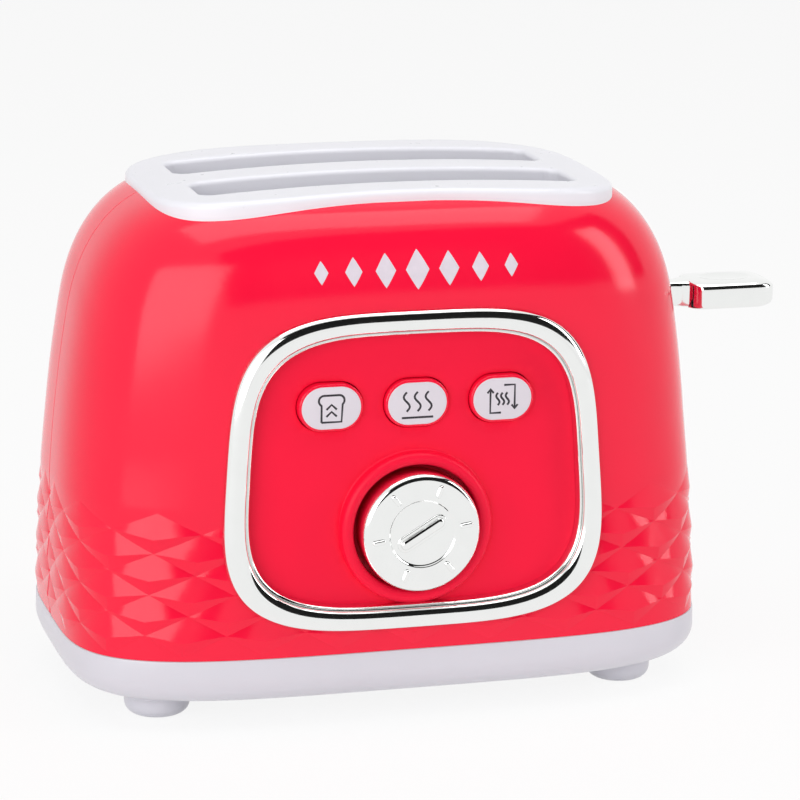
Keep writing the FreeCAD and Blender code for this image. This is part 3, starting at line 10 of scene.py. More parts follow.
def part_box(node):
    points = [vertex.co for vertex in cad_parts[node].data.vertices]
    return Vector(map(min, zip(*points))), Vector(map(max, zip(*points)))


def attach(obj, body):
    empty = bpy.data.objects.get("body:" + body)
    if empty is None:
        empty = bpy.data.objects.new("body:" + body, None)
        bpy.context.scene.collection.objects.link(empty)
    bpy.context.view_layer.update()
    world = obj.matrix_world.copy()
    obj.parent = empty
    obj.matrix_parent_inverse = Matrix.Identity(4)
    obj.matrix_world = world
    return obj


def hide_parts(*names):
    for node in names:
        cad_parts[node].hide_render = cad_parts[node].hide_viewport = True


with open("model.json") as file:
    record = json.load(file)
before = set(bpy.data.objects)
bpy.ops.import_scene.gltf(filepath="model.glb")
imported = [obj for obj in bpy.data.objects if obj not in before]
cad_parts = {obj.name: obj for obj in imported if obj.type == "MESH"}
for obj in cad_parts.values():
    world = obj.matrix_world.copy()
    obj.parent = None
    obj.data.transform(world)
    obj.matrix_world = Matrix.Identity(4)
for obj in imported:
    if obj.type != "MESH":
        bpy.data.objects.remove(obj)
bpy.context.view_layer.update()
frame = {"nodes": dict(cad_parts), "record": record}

bl_info = {
    "name": "Toy Toaster Dressing",
    "version": (1, 0, 0),
    "blender": (4, 5, 0),
    "location": "3D View > Sidebar > Toaster",
    "description": "Dresses the packed toy toaster with its housing, plated ring, dial, buttons and lever",
    "category": "Add Mesh",
}

MM = 0.001
MERGE = 1e-7  # corners nearer than this are one
FRONT, REAR = -1, 1


def length(name, millimetres, description):
    default = millimetres * MM
    return FloatProperty(name=name, description=description, default=default, unit="LENGTH", precision=5)


def angle(name, degrees, description):
    return FloatProperty(name=name, description=description, default=radians(degrees), subtype="ANGLE")


def ratio(name, value, description):
    return FloatProperty(name=name, description=description, default=value, precision=3)


def number(name, value, description):
    return IntProperty(name=name, description=description, default=value)


def colour(name, value, description):
    return FloatVectorProperty(
        name=name, description=description, default=value, subtype="COLOR", size=3, min=0, max=1,
    )


# Sizes and colours that a user would change


class HousingSizes(bpy.types.PropertyGroup):
    width: length("Width", 191.0, "Across both ends at the foot of the housing")
    depth: length("Depth", 114.8, "Front to back at the foot of the housing")
    foot: length("Foot", 21.2, "Height of the seam between the tray and the housing")
    waist: length("Waist", 40.0, "Height where the walls start to lean in")
    top: length("Top", 148.2, "Height of the housing's roof")
    end_lean: length("End lean", 13.8, "How far each end leans in by the roof")
    face_lean: length("Face lean", 4.2, "How far the front and the back lean in by the roof")
    end_shoulder: length("End shoulder height", 36.2, "Height of the rounded shoulder over the ends")
    end_drop: length("End shoulder depth", 25.7, "How far the end's shoulder turns in")
    face_shoulder: length("Face shoulder height", 30.2, "Height of the rounded shoulder over the front")
    face_drop: length("Face shoulder depth", 17.2, "How far the front's shoulder turns in")
    shoulder_power: ratio("Shoulder power", 2.4, "How square the shoulder's quarter curve is")
    low_squareness: ratio("Foot squareness", 4.16, "How square the plan is at the foot")
    high_squareness: ratio("Upper squareness", 3.0, "How square the plan is above the band")
    square_fade: length("Squareness fade", 59.0, "Height over which the plan rounds off")
    wall: length("Wall", 2.3, "Thickness of the moulded wall")


class BandSizes(bpy.types.PropertyGroup):
    first: length("First row", 22.4, "Height of the lowest row of valleys")
    half_height: length("Half height", 5.85, "Half the height of a lozenge")
    rows: number("Rows", 7, "Half rows of lozenges up the band")
    columns: number("Columns", 24, "Half columns of lozenges round one shell")
    valley: length("Valley", 0.42, "Depth of the valleys between lozenges")
    crown: length("Crown", 0.30, "Height of the ridge on each lozenge")
    sag: ratio("Ridge sag", 0.30, "How far the ridge hangs below the tips, in half heights")


class TraySizes(bpy.types.PropertyGroup):
    bottom: length("Bottom", 6.5, "Height of the tray's underside")
    round_height: length("Round height", 9.0, "Height of the curve under the edge")
    round_inset: length("Round inset", 11.0, "How far that curve turns in")
    foot_x: length("Foot X", 70.0, "How far the feet stand from the middle, along the length")
    foot_y: length("Foot Y", 32.0, "How far the feet stand from the middle, front to back")
    foot_radius: length("Foot radius", 9.5, "Radius of a moulded foot")
    foot_flat: length("Foot flat", 6.0, "Radius of the flat under a foot")
    foot_round: length("Foot round", 3.5, "Height of the curve round a foot's edge")


class TrimSizes(bpy.types.PropertyGroup):
    half_length: length("Half length", 68.5, "Half the length of the pale trim")
    half_depth: length("Half depth", 40.0, "Half the depth of the trim at its middle")
    flare: length("Flare", 3.2, "How much deeper the trim is near its ends")
    rise: length("Rise", 3.0, "Height of the trim over the housing's roof")
    arch: length("Arch", 3.2, "How far the trim's ends hang below its middle")
    edge: length("Edge", 1.9, "Radius of the trim's rounded edge")
    squareness: ratio("Squareness", 4.2, "How square the trim's ends are in plan")
    slot_length: length("Slot length", 110.6, "Length of a bread slot")
    slot_width: length("Slot width", 19.75, "Width of a bread slot")
    slot_spacing: length("Slot spacing", 33.75, "Between the middles of the slots")
    slot_corner: length("Slot corner", 4.0, "Corner radius of a bread slot")
    lip: length("Slot lip", 1.5, "Radius of the slots' rounded rims")
    collar: length("Collar", 8.2, "How far the slot's collar hangs below the housing's roof")
    collar_wall: length("Collar wall", 1.4, "Thickness of the slot's collar")
    opening_length: length("Opening length", 127.0, "Length of the housing's opening under the trim")
    opening_width: length("Opening width", 66.0, "Width of that opening")


class RingSizes(bpy.types.PropertyGroup):
    height: length("Height", 74.0, "Height of the ring's middle")
    half_width: length("Half width", 55.0, "Half the ring's width")
    half_height: length("Half height", 46.0, "Half the ring's height")
    squareness: ratio("Squareness", 3.75, "How square the ring's outline is")
    taper: ratio("Taper", 0.06, "How much narrower the ring is at its top")
    band: length("Band", 7.0, "Width of the plated band")
    proud: length("Proud", 2.8, "How far the band stands off the housing")
    panel_recess: length("Panel recess", 2.6, "How far the panel lies behind the housing's wall")
    window: length("Window inset", 3.5, "How far the housing's window lies inside the ring's outline")


class DialSizes(bpy.types.PropertyGroup):
    drop: length("Drop", 17.2, "How far the dial's axis lies below the ring's middle")
    radius: length("Radius", 17.3, "Radius of the dial")
    stand: length("Stand", 5.4, "How far the dial's face stands in front of the housing")
    bevel: length("Bevel", 2.0, "Width of the dial's bevelled rim")
    dish_radius: length("Dish radius", 9.8, "Radius of the shallow dish in the face")
    dish_depth: length("Dish depth", 0.5, "Depth of the dish")
    bar_length: length("Bar length", 14.5, "Length of the raised bar")
    bar_width: length("Bar width", 3.2, "Width of the raised bar")
    bar_turn: angle("Bar turn", 31.0, "Slope of the bar")
    tick_turn: angle("Tick turn", 8.0, "Turn of the ticks")
    cup_radius: length("Cup radius", 18.5, "Radius of the well round the dial")
    collar_radius: length("Collar radius", 22.2, "Outer radius of the rounded collar")
    collar_rise: length("Collar rise", 3.4, "How far the collar stands off the panel")
    cup_depth: length("Cup depth", 4.4, "Depth of the well behind the panel's face")


class ButtonSizes(bpy.types.PropertyGroup):
    rise: length("Rise", 18.9, "How far the buttons lie above the ring's middle")
    spacing: length("Spacing", 25.0, "Between the middles of the buttons")
    length: length("Length", 18.8, "Length of a key")
    height: length("Height", 13.8, "Height of a key")
    depth: length("Depth", 5.5, "From a key's face to its flange")
    flange: length("Flange", 1.3, "How far the flange behind the panel stands out")
    flange_thick: length("Flange thickness", 1.2, "Thickness of that flange")
    margin: length("Margin", 0.8, "Red rim left round the pale inlay")


class MotifSizes(bpy.types.PropertyGroup):
    middle: length("Middle", 131.0, "Height of the motif's middle")
    spacing: length("Spacing", 9.2, "Between the middles of the lozenges")
    height: length("Height", 11.0, "Height of the middle lozenge")
    slimness: ratio("Slimness", 0.62, "Width of a lozenge as a share of its height")
    each_side: number("Each side", 3, "Lozenges on each side of the middle one")


class LeverSizes(bpy.types.PropertyGroup):
    slot_low: length("Slot's foot", 61.4, "Height of the lever slot's lower end")
    slot_high: length("Slot's head", 112.6, "Height of the lever slot's upper end")
    slot_width: length("Slot width", 7.4, "Width of the lever's slot")
    slot_corner: length("Slot corner", 2.0, "Corner radius of the lever's slot")
    paddle_start: length("Paddle start", 99.5, "Where the paddle widens out of its neck")
    thick: length("Thick", 8.6, "Thickness of the paddle")
    squareness: ratio("Squareness", 5.5, "How square the paddle's cross-section is")
    dish_length: length("Dish length", 17.0, "Length of the shallow dish for a finger")
    dish_width: length("Dish width", 12.0, "Width of the dish")
    dish_depth: length("Dish depth", 0.9, "Depth of the dish")


class Colours(bpy.types.PropertyGroup):
    shell: colour("Housing", (0.96, 0.006, 0.045), "Coral red of the moulded housing")
    # The tray's white is set darker than the trim's, as painted shade: the plastic is the same white as the
    # trim, and the lower value stands in for the shade the tray sits in.
    pale: colour("Tray", (0.70, 0.69, 0.75), "Pale tray and feet")
    bright: colour("Trim", (0.87, 0.865, 0.92), "Nearly white trim round the slots")
    well: colour("Wells", (0.72, 0.71, 0.80), "Inner walls of the slots")
    inlay: colour("Inlays", (0.74, 0.69, 0.75), "Button faces")
    ink: colour("Ink", (0.025, 0.02, 0.03), "Printed pictograms")
    plating: colour("Plating", (0.86, 0.87, 0.86), "Ring, dial and lever")


def sizes(group):
    return getattr(bpy.context.scene, "toaster_" + group)


# Points and turns of rounds


def squared(turn, power):
    """Cosine and sine of a turn, pushed out towards a square by a power below 1."""
    across, up = cos(turn), sin(turn)
    return copysign(abs(across) ** power, across), copysign(abs(up) ** power, up)


def circle(share, radius):
    """A point of a circle, by its share of the round."""
    turn = 2 * pi * share
    return radius * cos(turn), radius * sin(turn)


def quarter(steps, first=0):
    """Turns in even steps up to a quarter."""
    return [pi / 2 * step / steps for step in range(first, steps + 1)]


def rounding(radius, steps):
    """How far down and how far in the levels of a rounded rim lie, from its outer edge to its top."""
    return [(radius * (1 - sin(turn)), radius * (1 - cos(turn))) for turn in quarter(steps)]


def quarter_stops(whole, steps=1500):
    """Turns from 0 to a whole number of quarters, crowded where a squared round moves fastest."""
    stops = [
        90.0 * (part + sin(pi / 2 * step / steps) ** 2)
        for part in range(round(whole / 90.0)) for step in range(steps)
    ]
    return stops + [whole]


def evenly(stops, points, count):
    """The stops, worked out between the given ones, of count + 1 points spaced evenly by length."""
    travelled = [0.0]
    for before, after in zip(points, points[1:]):
        travelled.append(travelled[-1] + (after - before).length)
    result, place = [], 0
    for step in range(count + 1):
        target = travelled[-1] * step / count
        while place < len(stops) - 2 and travelled[place + 1] < target:
            place += 1
        share = (target - travelled[place]) / (travelled[place + 1] - travelled[place])
        result.append(stops[place] + share * (stops[place + 1] - stops[place]))
    return result


# The housing's wall


class Wall:
    """The double-curved wall as a formula: metres, and turns in degrees round half a plan."""

    def __init__(self):
        self.form = sizes("housing")
        self.foot, self.waist, self.top = self.form.foot, self.form.waist, self.form.top

    def drop(self, height, start):
        power = self.form.shoulder_power
        step = min(max((height - start) / (self.top - start), 0.0), 1.0)
        return 1.0 - (1.0 - step ** power) ** (1.0 / power)

    def lean(self, height):
        return (max(height - self.waist, 0.0) / (self.top - self.waist)) ** 2

    def half(self, height, whole, lean, drop, shoulder):
        return whole / 2 - lean * self.lean(height) - drop * self.drop(height, self.top - shoulder)

    def half_width(self, height):
        form = self.form
        return self.half(height, form.width, form.end_lean, form.end_drop, form.end_shoulder)

    def half_depth(self, height):
        form = self.form
        return self.half(height, form.depth, form.face_lean, form.face_drop, form.face_shoulder)

    def squareness(self, height):
        form = self.form
        fade = min(max(1.0 - (height - self.foot) / form.square_fade, 0.0), 1.0)
        return form.high_squareness + (form.low_squareness - form.high_squareness) * fade ** 1.5

    def point(self, height, turn, inset=0.0, side=FRONT, plan=None):
        """A point of the wall, or of its plan at one height drawn at another."""
        plan = height if plan is None else plan
        across, out = squared(radians(turn), 2.0 / self.squareness(plan))
        x, y = (self.half_width(plan) - inset) * across, (self.half_depth(plan) - inset) * out
        return Vector((x, side * y, height))

    def face_y(self, height, across, inset=0.0):
        """How far the wall stands from the middle plane at a height and a place across."""
        power = self.squareness(height)
        share = max(1.0 - (abs(across) / (self.half_width(height) - inset)) ** power, 0.0)
        return (self.half_depth(height) - inset) * share ** (1.0 / power)

    def even_turns(self, height, count):
        """Turns of count + 1 points spaced evenly by length along half of a plan."""
        stops = quarter_stops(180.0)
        return evenly(stops, [self.point(height, stop) for stop in stops], count)


# Small modelling helpers round bmesh operators


def piece(name, bm, body, slot, *nodes, material=None, sharp=30.0):
    """Makes a finished object of a bmesh, riding on a body and standing for CAD nodes."""
    bmesh.ops.remove_doubles(bm, verts=bm.verts, dist=MERGE)
    turn_outwards(bm)
    made = linked(name, bm)
    smooth(made.data, sharp)
    return dress(made, body, slot, *nodes, material=material)


def turn_outwards(bm):
    """Points every face out, also where a hollow form has been turned inside out as a whole."""
    bmesh.ops.recalc_face_normals(bm, faces=bm.faces)
    if bm.calc_volume(signed=True) < 0:
        bmesh.ops.reverse_faces(bm, faces=bm.faces)


def placed(name, data):
    """A new object in the scene that shows a mesh, curve, lamp or camera."""
    made = bpy.data.objects.new(name, data)
    bpy.context.scene.collection.objects.link(made)
    return made


def linked(name, bm):
    """An object at the origin with a bmesh's mesh."""
    mesh = bpy.data.meshes.new(name)
    bm.to_mesh(mesh)
    bm.free()
    return placed(name, mesh)


def smooth(mesh, sharp):
    for polygon in mesh.polygons:
        polygon.use_smooth = True
    mesh.set_sharp_from_angle(angle=radians(sharp))


def dress(made, body, slot, *nodes, material=None):
    made.data.materials.clear()
    made.data.materials.append(finish(material or slot))
    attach(made, body)
    if nodes:
        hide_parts(*nodes)
    return made


def settle(made, sharp):
    """Applies a piece's modifiers to its mesh."""
    depsgraph = bpy.context.evaluated_depsgraph_get()
    mesh = bpy.data.meshes.new_from_object(made.evaluated_get(depsgraph))
    made.modifiers.clear()
    made.data = mesh
    smooth(mesh, sharp)


def carve(made, cutters, sharp):
    """Cuts solids out of a piece."""
    for cutter in cutters:
        knife = made.modifiers.new("Cut", "BOOLEAN")
        knife.operation = "DIFFERENCE"
        knife.solver = "EXACT"
        knife.object = cutter
    settle(made, sharp)
    for cutter in cutters:
        bpy.data.objects.remove(cutter)


def cutter(bm):
    turn_outwards(bm)
    return linked("Cutter", bm)


def prism_cutter(count, ends, place):
    """A straight solid to cut with, each corner put by its share of the round and its end."""
    bm = bmesh.new()
    tube(bm, [loop(bm, count, lambda share, end=end: place(share, end)) for end in ends])
    return cutter(bm)


def thicken(bm, depth):
    """Gives a sheet a thickness towards the back."""
    behind = bmesh.ops.extrude_face_region(bm, geom=bm.faces[:])
    corners = [part for part in behind["geom"] if isinstance(part, bmesh.types.BMVert)]
    bmesh.ops.translate(bm, verts=corners, vec=(0, depth, 0))


def divide(bm, spot, normal):
    """Adds edges where a plane meets the faces, so that they can follow a curve."""
    everything = bm.verts[:] + bm.edges[:] + bm.faces[:]
    bmesh.ops.bisect_plane(bm, geom=everything, dist=MERGE, plane_co=spot, plane_no=normal)


def loop(bm, count, place):
    """A closed loop of edges, each corner put where place says for its share of the round."""
    made = bmesh.ops.create_circle(bm, segments=count, radius=1.0)["verts"]
    for index, corner in enumerate(made):
        corner.co = place(index / count)
    return made


def loop_edges(corners):
    inside = set(corners)
    edges = {edge for corner in corners for edge in corner.link_edges}
    return [edge for edge in edges if set(edge.verts) <= inside]


def join(bm, loops):
    """Bridges loops of equal count, one to the next."""
    rims = [loop_edges(corners) for corners in loops]
    for below, above in zip(rims, rims[1:]):
        bmesh.ops.bridge_loops(bm, edges=below + above)
    return rims


def tube(bm, loops):
    """Bridges loops of equal count and caps both ends."""
    rims = join(bm, loops)
    bmesh.ops.contextual_create(bm, geom=rims[0])
    bmesh.ops.contextual_create(bm, geom=rims[-1])


def oblong(share, length_, height):
    """A point of a stadium outline, by its share of the round."""
    x, y = circle(share, height / 2)
    reach = length_ / 2 - height / 2
    return x + copysign(reach, x) if abs(x) > 1e-9 else 0.0, y


def rounded(share, width, height, radius, count):
    """A point of a rectangle with rounded corners, by its share of the round."""
    turn = 2 * pi * (share + 0.5 / count)
    corner = floor(turn / (pi / 2)) % 4
    sx, sy = 1 if corner in (0, 3) else -1, 1 if corner in (0, 1) else -1
    x = sx * (width / 2 - radius) + radius * cos(turn)
    return x, sy * (height / 2 - radius) + radius * sin(turn)


def slab(bm, place, length_, height, low, high, bevel, count=72, steps=4):
    """A stadium-shaped solid from low to high along its own Z, its top rim rounded, put by a matrix."""
    def level(z, inset):
        def spot(share):
            return place @ Vector((*oblong(share + 0.5 / count, length_ - 2 * inset, height - 2 * inset), z))
        return loop(bm, count, spot)
    tube(bm, [level(low, 0.0)] + [level(high - down, inwards) for down, inwards in rounding(bevel, steps)])


def facing_front(x, y, z, turn=0.0):
    """Puts local X across, local Y up and local Z towards the front."""
    stand = Matrix.Rotation(radians(90), 4, "X")
    return Matrix.Translation((x, y, z)) @ stand @ Matrix.Rotation(turn, 4, "Z")


def turned(bm, outline, centre, count=128):
    """Spins an outline of (radius, y) corners round an axis along Y."""
    x, z = centre
    corners = [bm.verts.new((x + radius, y, z)) for radius, y in outline]
    edges = [bm.edges.new(pair) for pair in zip(corners, corners[1:])]
    bmesh.ops.spin(
        bm, geom=corners + edges, cent=(x, 0, z), axis=(0, 1, 0), angle=2 * pi, steps=count,
        use_merge=True,
    )
    bmesh.ops.remove_doubles(bm, verts=bm.verts, dist=MERGE)


# Shader maths


class Wire:
    """A socket of a node tree, with Python's operators for its Math nodes."""

    def __init__(self, tree, socket):
        self.tree, self.socket = tree, socket

    def maths(self, operation, *others):
        return self.tree.add("ShaderNodeMath", {"operation": operation}, self, *others)

    def __add__(self, other):
        return self.maths("ADD", other)

    def __sub__(self, other):
        return self.maths("SUBTRACT", other)

    def __mul__(self, other):
        return self.maths("MULTIPLY", other)

    __radd__ = __add__


class Tree:
    """A node tree of a material or world, built one node at a time."""

    def __init__(self, name, owner=None):
        self.material = owner or bpy.data.materials.new(name)
        self.material.use_nodes = True
        self.nodes = self.material.node_tree.nodes
        self.links = self.material.node_tree.links
        self.shader = self.nodes.get("Principled BSDF")

    def add(self, kind, settings=None, *inputs, output=0, inputs_at=(), **named):
        """Makes a node: its type, its settings, then values or links for its inputs."""
        node = self.nodes.new(kind)
        for name, value in (settings or {}).items():
            setattr(node, name, value)
        by_name = [(name.replace("_", " "), value) for name, value in named.items()]
        for key, value in list(enumerate(inputs)) + list(inputs_at) + by_name:
            self.feed(node.inputs[key], value)
        return Wire(self, node.outputs[output]) if len(node.outputs) else None

    def feed(self, socket, value):
        if isinstance(value, Wire):
            self.links.new(value.socket, socket)
        elif hasattr(value, "__len__") and len(value) == 3 and socket.type == "RGBA":
            socket.default_value = (*value, 1.0)
        else:
            socket.default_value = value

    def place(self):
        return self.add("ShaderNodeTexCoord", {}, output="Object")

    def noise(self, scale, detail, rough=0.5):
        place = self.place()
        return self.add("ShaderNodeTexNoise", {}, Vector=place, Scale=scale, Detail=detail, Roughness=rough)

    def vary(self, share, base, low, high):
        """A colour that wanders between two strengths of a base colour."""
        ends = [tuple(min(max(part * strength, 0.0), 1.0) for part in base) for strength in (low, high)]
        mixed = ((0, share), (6, ends[0]), (7, ends[1]))
        return self.add("ShaderNodeMix", {"data_type": "RGBA"}, output=2, inputs_at=mixed)

    def bump(self, height, strength, distance=0.0002):
        return self.add("ShaderNodeBump", {}, Strength=strength, Distance=distance, Height=height)

    def set(self, **named):
        for name, value in named.items():
            self.feed(self.shader.inputs[name.replace("_", " ")], value)


def moulded(name, base, roughness, coat=0.0, grain=0.05, shine=0.5):
    """Injection-moulded plastic: slight flow marks in its colour, faint orange peel, uneven gloss."""
    tree = Tree(name)
    flow = tree.noise(38.0, 2.0)
    peel = tree.noise(900.0, 2.0)
    scuff = tree.noise(260.0, 5.0, 0.65)
    tree.set(
        Base_Color=tree.vary(flow, base, 0.96, 1.04),
        Roughness=roughness + (scuff - 0.5) * roughness * 0.5,
        Specular_IOR_Level=shine,
        Coat_Weight=coat,
        Coat_Roughness=0.04,
        Normal=tree.bump(peel, grain),
    )
    return tree.material


def plated(name, base):
    """Vacuum-plated plastic: a mirror with a faint wave and smears of handling."""
    tree = Tree(name)
    wave = tree.noise(70.0, 1.0)
    smear = tree.noise(180.0, 4.0, 0.6)
    tree.set(
        Base_Color=tree.vary(smear, base, 0.97, 1.03),
        Metallic=1.0,
        Roughness=0.045 + smear * 0.05,
        Normal=tree.bump(wave, 0.12, 0.0006),
    )
    return tree.material


def worked_metal(name, base, roughness):
    """Drawn or stamped metal: fine lines along its length, a little tarnish."""
    tree = Tree(name)
    stretched = tree.add("ShaderNodeMapping", {}, Vector=tree.place(), Scale=(400.0, 400.0, 30.0))
    lines = tree.add("ShaderNodeTexNoise", {}, Vector=stretched, Scale=4.0, Detail=4.0)
    tarnish = tree.noise(60.0, 4.0)
    tree.set(
        Base_Color=tree.vary(tarnish, base, 0.82, 1.06),
        Metallic=1.0,
        Roughness=roughness + (lines - 0.5) * 0.25,
        Normal=tree.bump(lines, 0.15),
    )
    return tree.material


def printed(name, base):
    """Pad-printed ink: nearly flat, a touch uneven where it was laid."""
    tree = Tree(name)
    lay = tree.noise(500.0, 3.0)
    tree.set(
        Base_Color=tree.vary(lay, base, 0.9, 1.06),
        Roughness=0.42 + lay * 0.12,
        Normal=tree.bump(lay, 0.04),
    )
    return tree.material


FINISHES = {
    "red_shell": lambda look: moulded("coral_gloss", look.shell, 0.15, shine=0.36),
    "red_panel": lambda look: moulded("coral_satin", look.shell, 0.36, grain=0.08, shine=0.2),
    # The tray's finish carries painted shade in its darker white.
    "white_tray": lambda look: moulded("pale_tray", look.pale, 0.32, coat=0.1),
    "white_trim": lambda look: moulded("pale_trim", look.bright, 0.30, coat=0.15),
    "well_plastic": lambda look: moulded("well_lilac", look.well, 0.42),
    "icon_face": lambda look: moulded("inlay_lilac", look.inlay, 0.38),
    "chrome_plate": lambda look: plated("bright_plating", look.plating),
    "steel": lambda look: worked_metal("drawn_steel", (0.55, 0.55, 0.57), 0.34),
    "brass": lambda look: worked_metal("turned_brass", (0.70, 0.52, 0.22), 0.30),
    "white_gear": lambda look: moulded("gear_nylon", (0.78, 0.77, 0.72), 0.48),
    "grey_plastic": lambda look: moulded("grey_moulding", (0.20, 0.20, 0.22), 0.46),
    "ink": lambda look: printed("dark_ink", look.ink),
    "pale_ink": lambda look: printed("pale_ink", (0.76, 0.68, 0.76)),
}


def finish(slot):
    """The material of a slot, made the first time it is asked for."""
    if slot not in finish.made:
        finish.made[slot] = FINISHES[slot](sizes("colours"))
    return finish.made[slot]


finish.made = {}


# The ring's outline


EVEN_SPOTS = 720  # evenly spaced stops round the outline


class Outline:
    """The rounded square of the ring and panel, bowed with the housing's front."""

    def __init__(self, wall):
        self.form = sizes("ring")
        self.wall = wall
        stops = quarter_stops(360.0)
        self.even = evenly(stops, [Vector(self.spot(stop, 0.0)) for stop in stops], EVEN_SPOTS)

    def spot(self, turn, inset):
        """X and Z of the outline at a turn in degrees."""
        form = self.form
        across, up = squared(radians(turn), 2.0 / form.squareness)
        rise = (form.half_height - inset) * up
        narrow = 1.0 - form.taper * rise / form.half_height
        return (form.half_width - inset) * narrow * across, form.height + rise

    def flat(self, share, inset, y):
        """The same in a plane across Y, with the round shared out evenly by length."""
        place = share * EVEN_SPOTS
        low = floor(place)
        even = self.even[low] + (place - low) * (self.even[min(low + 1, EVEN_SPOTS)] - self.even[low])
        x, z = self.spot(even, inset)
        return Vector((x, y, z))

    def point(self, share, inset, proud):
        """The same on the housing's front, standing off it."""
        place = self.flat(share, inset, 0.0)
        place.y = -(self.wall.face_y(place.z, place.x) + proud)
        return place


class ToasterOperator:
    """What the operators share."""

    bl_options = {"REGISTER", "UNDO"}

    @classmethod
    def poll(cls, context):
        return bool(frame["nodes"])


CELL = 10  # columns of the grid in one half column of lozenges
UPPER_ROWS, INNER_ROWS = 70, 24  # rows of the grid above the band and down the inside
CREASE = 7.0  # degrees between facets that stay sharp
SEAM_EASE = 0.22 * MM


SAG_CURVE, CREST_CURVE = 1.5, 2.4  # how a lozenge's ridge sags and how its height falls towards its tips


def crossings(band, column, part):
    """An upright line's places up the band, in half rows, each with how proud the surface stands there.

    The line stands part of the way from one half column to the next. It crosses a valley, a ridge
    and the next valley in every half row where a lozenge lies, and the rows of the grid follow them.
    """
    crossed = [(0.0, -band.valley)]
    for row in range(1, band.rows):
        near = part if (column + row) % 2 else 1.0 - part
        reach = 1.0 - near
        low, ridge, high = row - reach, row - band.sag * reach ** SAG_CURVE, row + reach
        base = -band.valley * min(band.rows - low, 1.0)
        crest = base + (band.crown - base) * (1.0 - near ** CREST_CURVE)
        edge = -band.valley * min(band.rows - high, 1.0)
        for step in (0.0, 0.5, 1.0):
            crossed.append((low + (ridge - low) * step, base + (crest - base) * step))
        for step in (1 / 3, 2 / 3, 1.0):
            crossed.append((ridge + (high - ridge) * step, crest + (edge - crest) * step))
    return crossed + [(float(band.rows), 0.0)]


def housing_column(wall, band, place, ease):
    """One upright line of the housing's section, up the outside and down the inside.

    Each corner has its height, the height whose plan it lies on, and how far it lies inside that plan.
    """
    column, part = divmod(place, CELL)
    line = [(wall.foot, wall.foot, ease + band.valley)]
    for up, proud in crossings(band, column, part / CELL):
        height = band.first + up * band.half_height
        line.append((height, height, ease - proud))
    low = line[-1][0]
    for turn in quarter(UPPER_ROWS, 1):
        height = low + (wall.top - low) * sin(turn)
        line.append((height, height, ease))
    thick = wall.form.wall
    under = wall.top - thick
    line.append((under, wall.top, ease))
    for turn in quarter(INNER_ROWS):
        height = wall.foot + (under - wall.foot) * cos(turn)
        line.append((height, height, ease + thick))
    return line + line[:1]


def housing_half(side):
    """One moulded half, closed all round, its edge eased in at the seam."""
    wall, band = Wall(), sizes("band")
    turns = wall.even_turns(band.first, band.columns * CELL)
    last = len(turns) - 1
    eases = [SEAM_EASE if place in (0, last) else 0.0 for place in range(last + 1)]
    lines = [housing_column(wall, band, place, ease) for place, ease in enumerate(eases)]
    rows = len(lines[0]) - 1
    bm = bmesh.new()
    bmesh.ops.create_grid(bm, x_segments=last, y_segments=rows, size=0.5)
    for corner in bm.verts:
        place = round((corner.co.x + 0.5) * last)
        height, plan, inset = lines[place][round((corner.co.y + 0.5) * rows)]
        corner.co = wall.point(height, turns[place], inset, side, plan)
    bmesh.ops.remove_doubles(bm, verts=bm.verts, dist=1e-6)
    bmesh.ops.holes_fill(bm, edges=[edge for edge in bm.edges if edge.is_boundary], sides=0)
    turn_outwards(bm)
    bm.normal_update()
    return bm


def roof_cutter():
    """The opening in the roof under the trim, wide enough for both bread wells."""
    form, top, count = sizes("trim"), sizes("housing").top, 64

    def place(share, z):
        x, y = rounded(share, form.opening_length, form.opening_width, form.slot_corner, count)
        return Vector((x, y, z))
    return prism_cutter(count, (top - 0.012, top + 0.01), place)


def lever_slot_cutter():
    """The lever's slot across the seam, with rounded corners."""
    form, count = sizes("lever"), 48

    def place(share, x):
        y, z = rounded(share, form.slot_width, form.slot_high - form.slot_low, form.slot_corner, count)
        return Vector((x, y, (form.slot_high + form.slot_low) / 2 + z))
    return prism_cutter(count, (0.080, 0.110), place)


class TOASTER_OT_housing(ToasterOperator, bpy.types.Operator):
    """Both moulded halves of the red housing, with the band of lozenges"""

    bl_idname = "toaster.housing"
    bl_label = "Housing"

    def execute(self, context):
        outline, inset = Outline(Wall()), sizes("ring").window
        before, behind = -0.065, -0.040
        window = prism_cutter(160, (before, behind), lambda share, y: outline.flat(share, inset, y))
        wells = [screw_well_cutter(x, z) for x, z in SCREW_WELLS]
        for name, side, cutters in (("front", FRONT, [window]), ("rear", REAR, wells)):
            half = linked("housing_" + name, housing_half(side))
            dress(half, "housing", "red_shell", name + "_shell")
            carve(half, cutters + [lever_slot_cutter(), roof_cutter()], CREASE)
        for index, (x, z) in enumerate(SCREW_WELLS):
            screw_well(index, x, z)
        return {"FINISHED"}


SCREW_WELLS = ((-0.082, 0.045), (0.082, 0.045), (-0.0785, 0.124), (0.0785, 0.124))
WELL_RADIUS, WELL_WALL, SCREW_HOLE = 0.0029, 0.0007, 0.0014
SEAM_FLOOR = 0.004


def screw_well_cutter(x, z):
    place = Matrix.Translation((x, 0, z)) @ Matrix.Rotation(radians(-90), 4, "X")
    return prism_cutter(
        32, (0.010, 0.065), lambda share, y: place @ Vector((*circle(share, WELL_RADIUS), y)),
    )


def screw_well(index, x, z):
    """The moulded tube that leads a screw in from the back."""
    outer, under = WELL_RADIUS + WELL_WALL, SEAM_FLOOR - 0.002
    mouth = Wall().face_y(z, abs(x) + WELL_RADIUS + WELL_WALL, 0.0006) - 0.001
    bm = bmesh.new()
    turned(bm, [
        (SCREW_HOLE, SEAM_FLOOR), (WELL_RADIUS, SEAM_FLOOR), (WELL_RADIUS, mouth), (outer, mouth),
        (outer, under), (SCREW_HOLE, under), (SCREW_HOLE, SEAM_FLOOR),
    ], (x, z), 32)
    piece("screw_well_%d" % index, bm, "housing", "red_shell")


